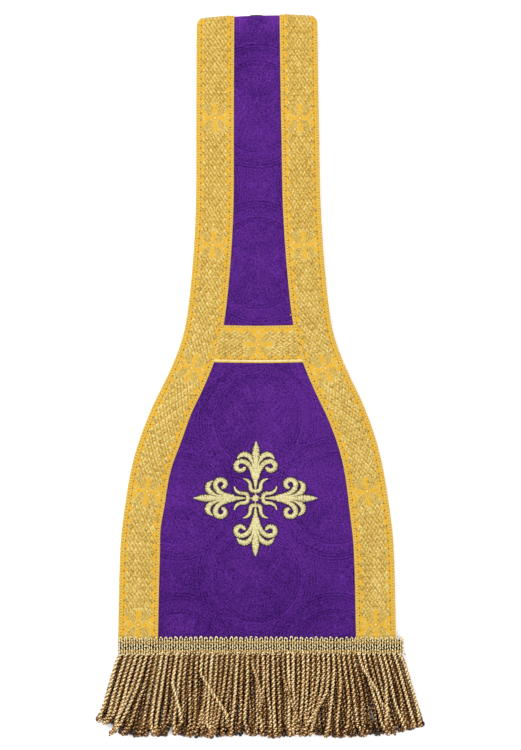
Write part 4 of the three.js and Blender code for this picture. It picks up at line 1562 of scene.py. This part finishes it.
class MakeFoldCross(bpy.types.Operator):
    """Embroiders the small plain cross at the middle of the band, mostly behind the fold"""

    bl_idname = "maniple.make_fold_cross"
    bl_label = "Small cross"

    def execute(self, context):
        settings = context.scene.maniple_embroidery
        chance = np.random.default_rng(FOLD_CROSS["seed"])
        pitch, bar, arm = settings.pitch / MM, FOLD_CROSS["bar"] / 2, FOLD_CROSS["arm"]
        aside, bulge = dome(9)
        rise = FOLD_CROSS["crown"] * bulge + ON_CLOTH + SATIN["reach"]
        paths, tones = [], []
        for upright in (True, False):
            for run in np.arange(-arm, arm, pitch):
                if not upright and abs(run) < bar:
                    continue
                reach = bar * aside * (1 + FOLD_CROSS["varies"] * chance.normal())
                x, y = (reach, run) if upright else (run, reach)
                paths.append(place(FOLD_CROSS["across"] + x, FOLD_CROSS["along"] + y, rise))
                tones.append(chance.random())
        satin = threads(
            "cross_fold_satin", paths, tones, settings.thread / MM / 2, SATIN["sides"],
            bpy.data.materials["gilt_thread"],
        )
        dress(satin, "gold_thread", "cross_fold")
        return {"FINISHED"}


class MakeFringes(bpy.types.Operator):
    """Twists the bullion strands of both legs and weaves their headings"""

    bl_idname = "maniple.make_fringes"
    bl_label = "Bullion fringes"

    def execute(self, context):
        settings = context.scene.maniple_fringe
        bullion, gimp = bullion_material(settings), gimp_material(settings)
        # The tape is a real part, and its dark brown also stands for shade in the gaps between the
        # gimp's legs.
        tape = plain_material("heading_tape", settings.core, 0.4, 0.8)
        for k, (name, row) in enumerate(ROWS.items()):
            *lay, steps, sides, thick, shade_under, strays = row
            paths, girths, tones, crests = strand_paths(
                settings, *lay, steps, settings.seed + k, strays
            )
            # The rows under the upper one are painted darker, as shade under it.
            made = threads(
                name, paths, [tone - shade_under for tone in tones], settings.ply / MM / 2 * thick,
                sides, bullion, girths, crests,
            )
            dress(made, "bullion", *ROW_STANDS_FOR.get(name, []))
        for end, (low, high) in TAPES.items():
            base = heading_base(f"heading_{end}_tape", low, high)
            dress(add_object(base.name, base, tape), "bullion")
            paths, girths, tones = heading_paths(settings, high + 0.1)
            made = threads(
                f"heading_{end}_gimp", paths, tones, HEADING["gimp"], 6, gimp, girths
            )
            dress(made, "bullion")
        return {"FINISHED"}


class MakeCloth(bpy.types.Operator):
    bl_idname = "maniple.make_cloth"
    bl_label = "Damask band"

    def execute(self, context):
        settings = context.scene.maniple_cloth
        lining = plain_material(
            "purple_lining", settings.lining, 0.7, 0.6, 0.6, 0.06, (1, 3, 1)
        )
        cloth = add_object("band_cloth", cloth_mesh(settings), damask_material(settings), lining)
        dress(cloth, "damask", "band")
        half = half_width(np.linspace(0, CLOTH_END, 400))
        flat = (2 * half.max() * MM, 2 * CLOTH_END * MM)
        area = 4 * half.mean() * CLOTH_END * MM * MM
        return {"FINISHED"}


FLOOR = {"reach": 6.0, "level": -0.0002}  # metres, as all of the stage
SEEN_TALL = 0.5025  # height of the view at the cloth
AIM = (-0.00092, 0.00017, 0.006)
# Softboxes: where they stand, share of the light, size.
SOFTBOXES = {
    "softbox_left": ((-1.1, 0.9, 1.5), 1, 0.9),
    "softbox_right": ((1.3, -0.5, 1.7), 0.4, 1.2),
}


class MakeStage(bpy.types.Operator):
    """Lays the pale floor, sets the soft light and aims the camera straight down"""

    bl_idname = "maniple.make_stage"
    bl_label = "Stage"

    def execute(self, context):
        settings = context.scene.maniple_stage
        material, nodes, shader = new_material("pale_floor", 0.9)
        tint = nodes.noise(60, 2, 0.5)
        pale = (settings.floor,) * 3
        feed(nodes, shader, Base_Color=nodes.mix(tint, pale, dimmed(pale, 0.985)))
        corners = [
            (x * FLOOR["reach"], y * FLOOR["reach"], FLOOR["level"])
            for x, y in ((-1, -1), (1, -1), (1, 1), (-1, 1))
        ]
        floor = bpy.data.meshes.new("floor")
        floor.from_pydata(corners, [], [(0, 1, 2, 3)])
        add_object("floor", floor, material)

        world = bpy.data.worlds.new("studio")
        world.use_nodes = True
        sky = world.node_tree.nodes["Background"]
        sky.inputs["Color"].default_value = (1, 1, 1, 1)
        sky.inputs["Strength"].default_value = settings.sky
        context.scene.world = world
        for name, (spot, share, size) in SOFTBOXES.items():
            light = bpy.data.lights.new(name, "AREA")
            light.energy = settings.softbox * share
            light.size = size
            lamp = bpy.data.objects.new(name, light)
            lamp.location = spot
            lamp.rotation_euler = (-Vector(spot)).to_track_quat("-Z", "Y").to_euler()
            context.scene.collection.objects.link(lamp)

        camera = bpy.data.cameras.new("camera")
        camera.sensor_fit = "VERTICAL"
        camera.sensor_height = 36
        camera.lens = camera.sensor_height * settings.distance / SEEN_TALL
        camera.clip_end = 50
        eye = bpy.data.objects.new("camera", camera)
        eye.matrix_world = Matrix.Translation(Vector(AIM) + Vector((0, 0, settings.distance)))
        context.scene.collection.objects.link(eye)
        context.scene.camera = eye
        context.scene.view_settings.view_transform = "Standard"
        return {"FINISHED"}


OPERATORS = (
    MakeGalloons, MakeCrossbars, MakeStitches, MakeCross,
    MakeFoldCross, MakeFringes, MakeCloth, MakeStage,
)
SETTINGS = {
    "maniple_cloth": ClothSettings,
    "maniple_braid": BraidSettings,
    "maniple_embroidery": EmbroiderySettings,
    "maniple_fringe": FringeSettings,
    "maniple_stage": StageSettings,
}


class ManiplePanel(bpy.types.Panel):
    """Lists the pieces of the maniple and their settings"""

    bl_idname = "VIEW3D_PT_maniple"
    bl_label = "Roman Maniple"
    bl_space_type = "VIEW_3D"
    bl_region_type = "UI"
    bl_category = "Maniple"

    def draw(self, context):
        for operator in OPERATORS:
            self.layout.operator(operator.bl_idname)
        for name, group in SETTINGS.items():
            box = self.layout.box()
            box.label(text=group.__doc__)
            for prop in group.__annotations__:
                box.prop(getattr(context.scene, name), prop)


def register():
    for group in SETTINGS.values():
        bpy.utils.register_class(group)
    for name, group in SETTINGS.items():
        setattr(bpy.types.Scene, name, PointerProperty(type=group))
    for cls in (*OPERATORS, ManiplePanel):
        bpy.utils.register_class(cls)


def unregister():
    for cls in (ManiplePanel, *reversed(OPERATORS)):
        bpy.utils.unregister_class(cls)
    for name, group in SETTINGS.items():
        delattr(bpy.types.Scene, name)
        bpy.utils.unregister_class(group)


THREADS = thread_group()
STITCHES = stitch_group()


def main():
    register()
    for operator in OPERATORS:
        name = operator.bl_idname.split(".")[1]
        getattr(bpy.ops.maniple, name)()


if __name__ == "__main__":
    main()
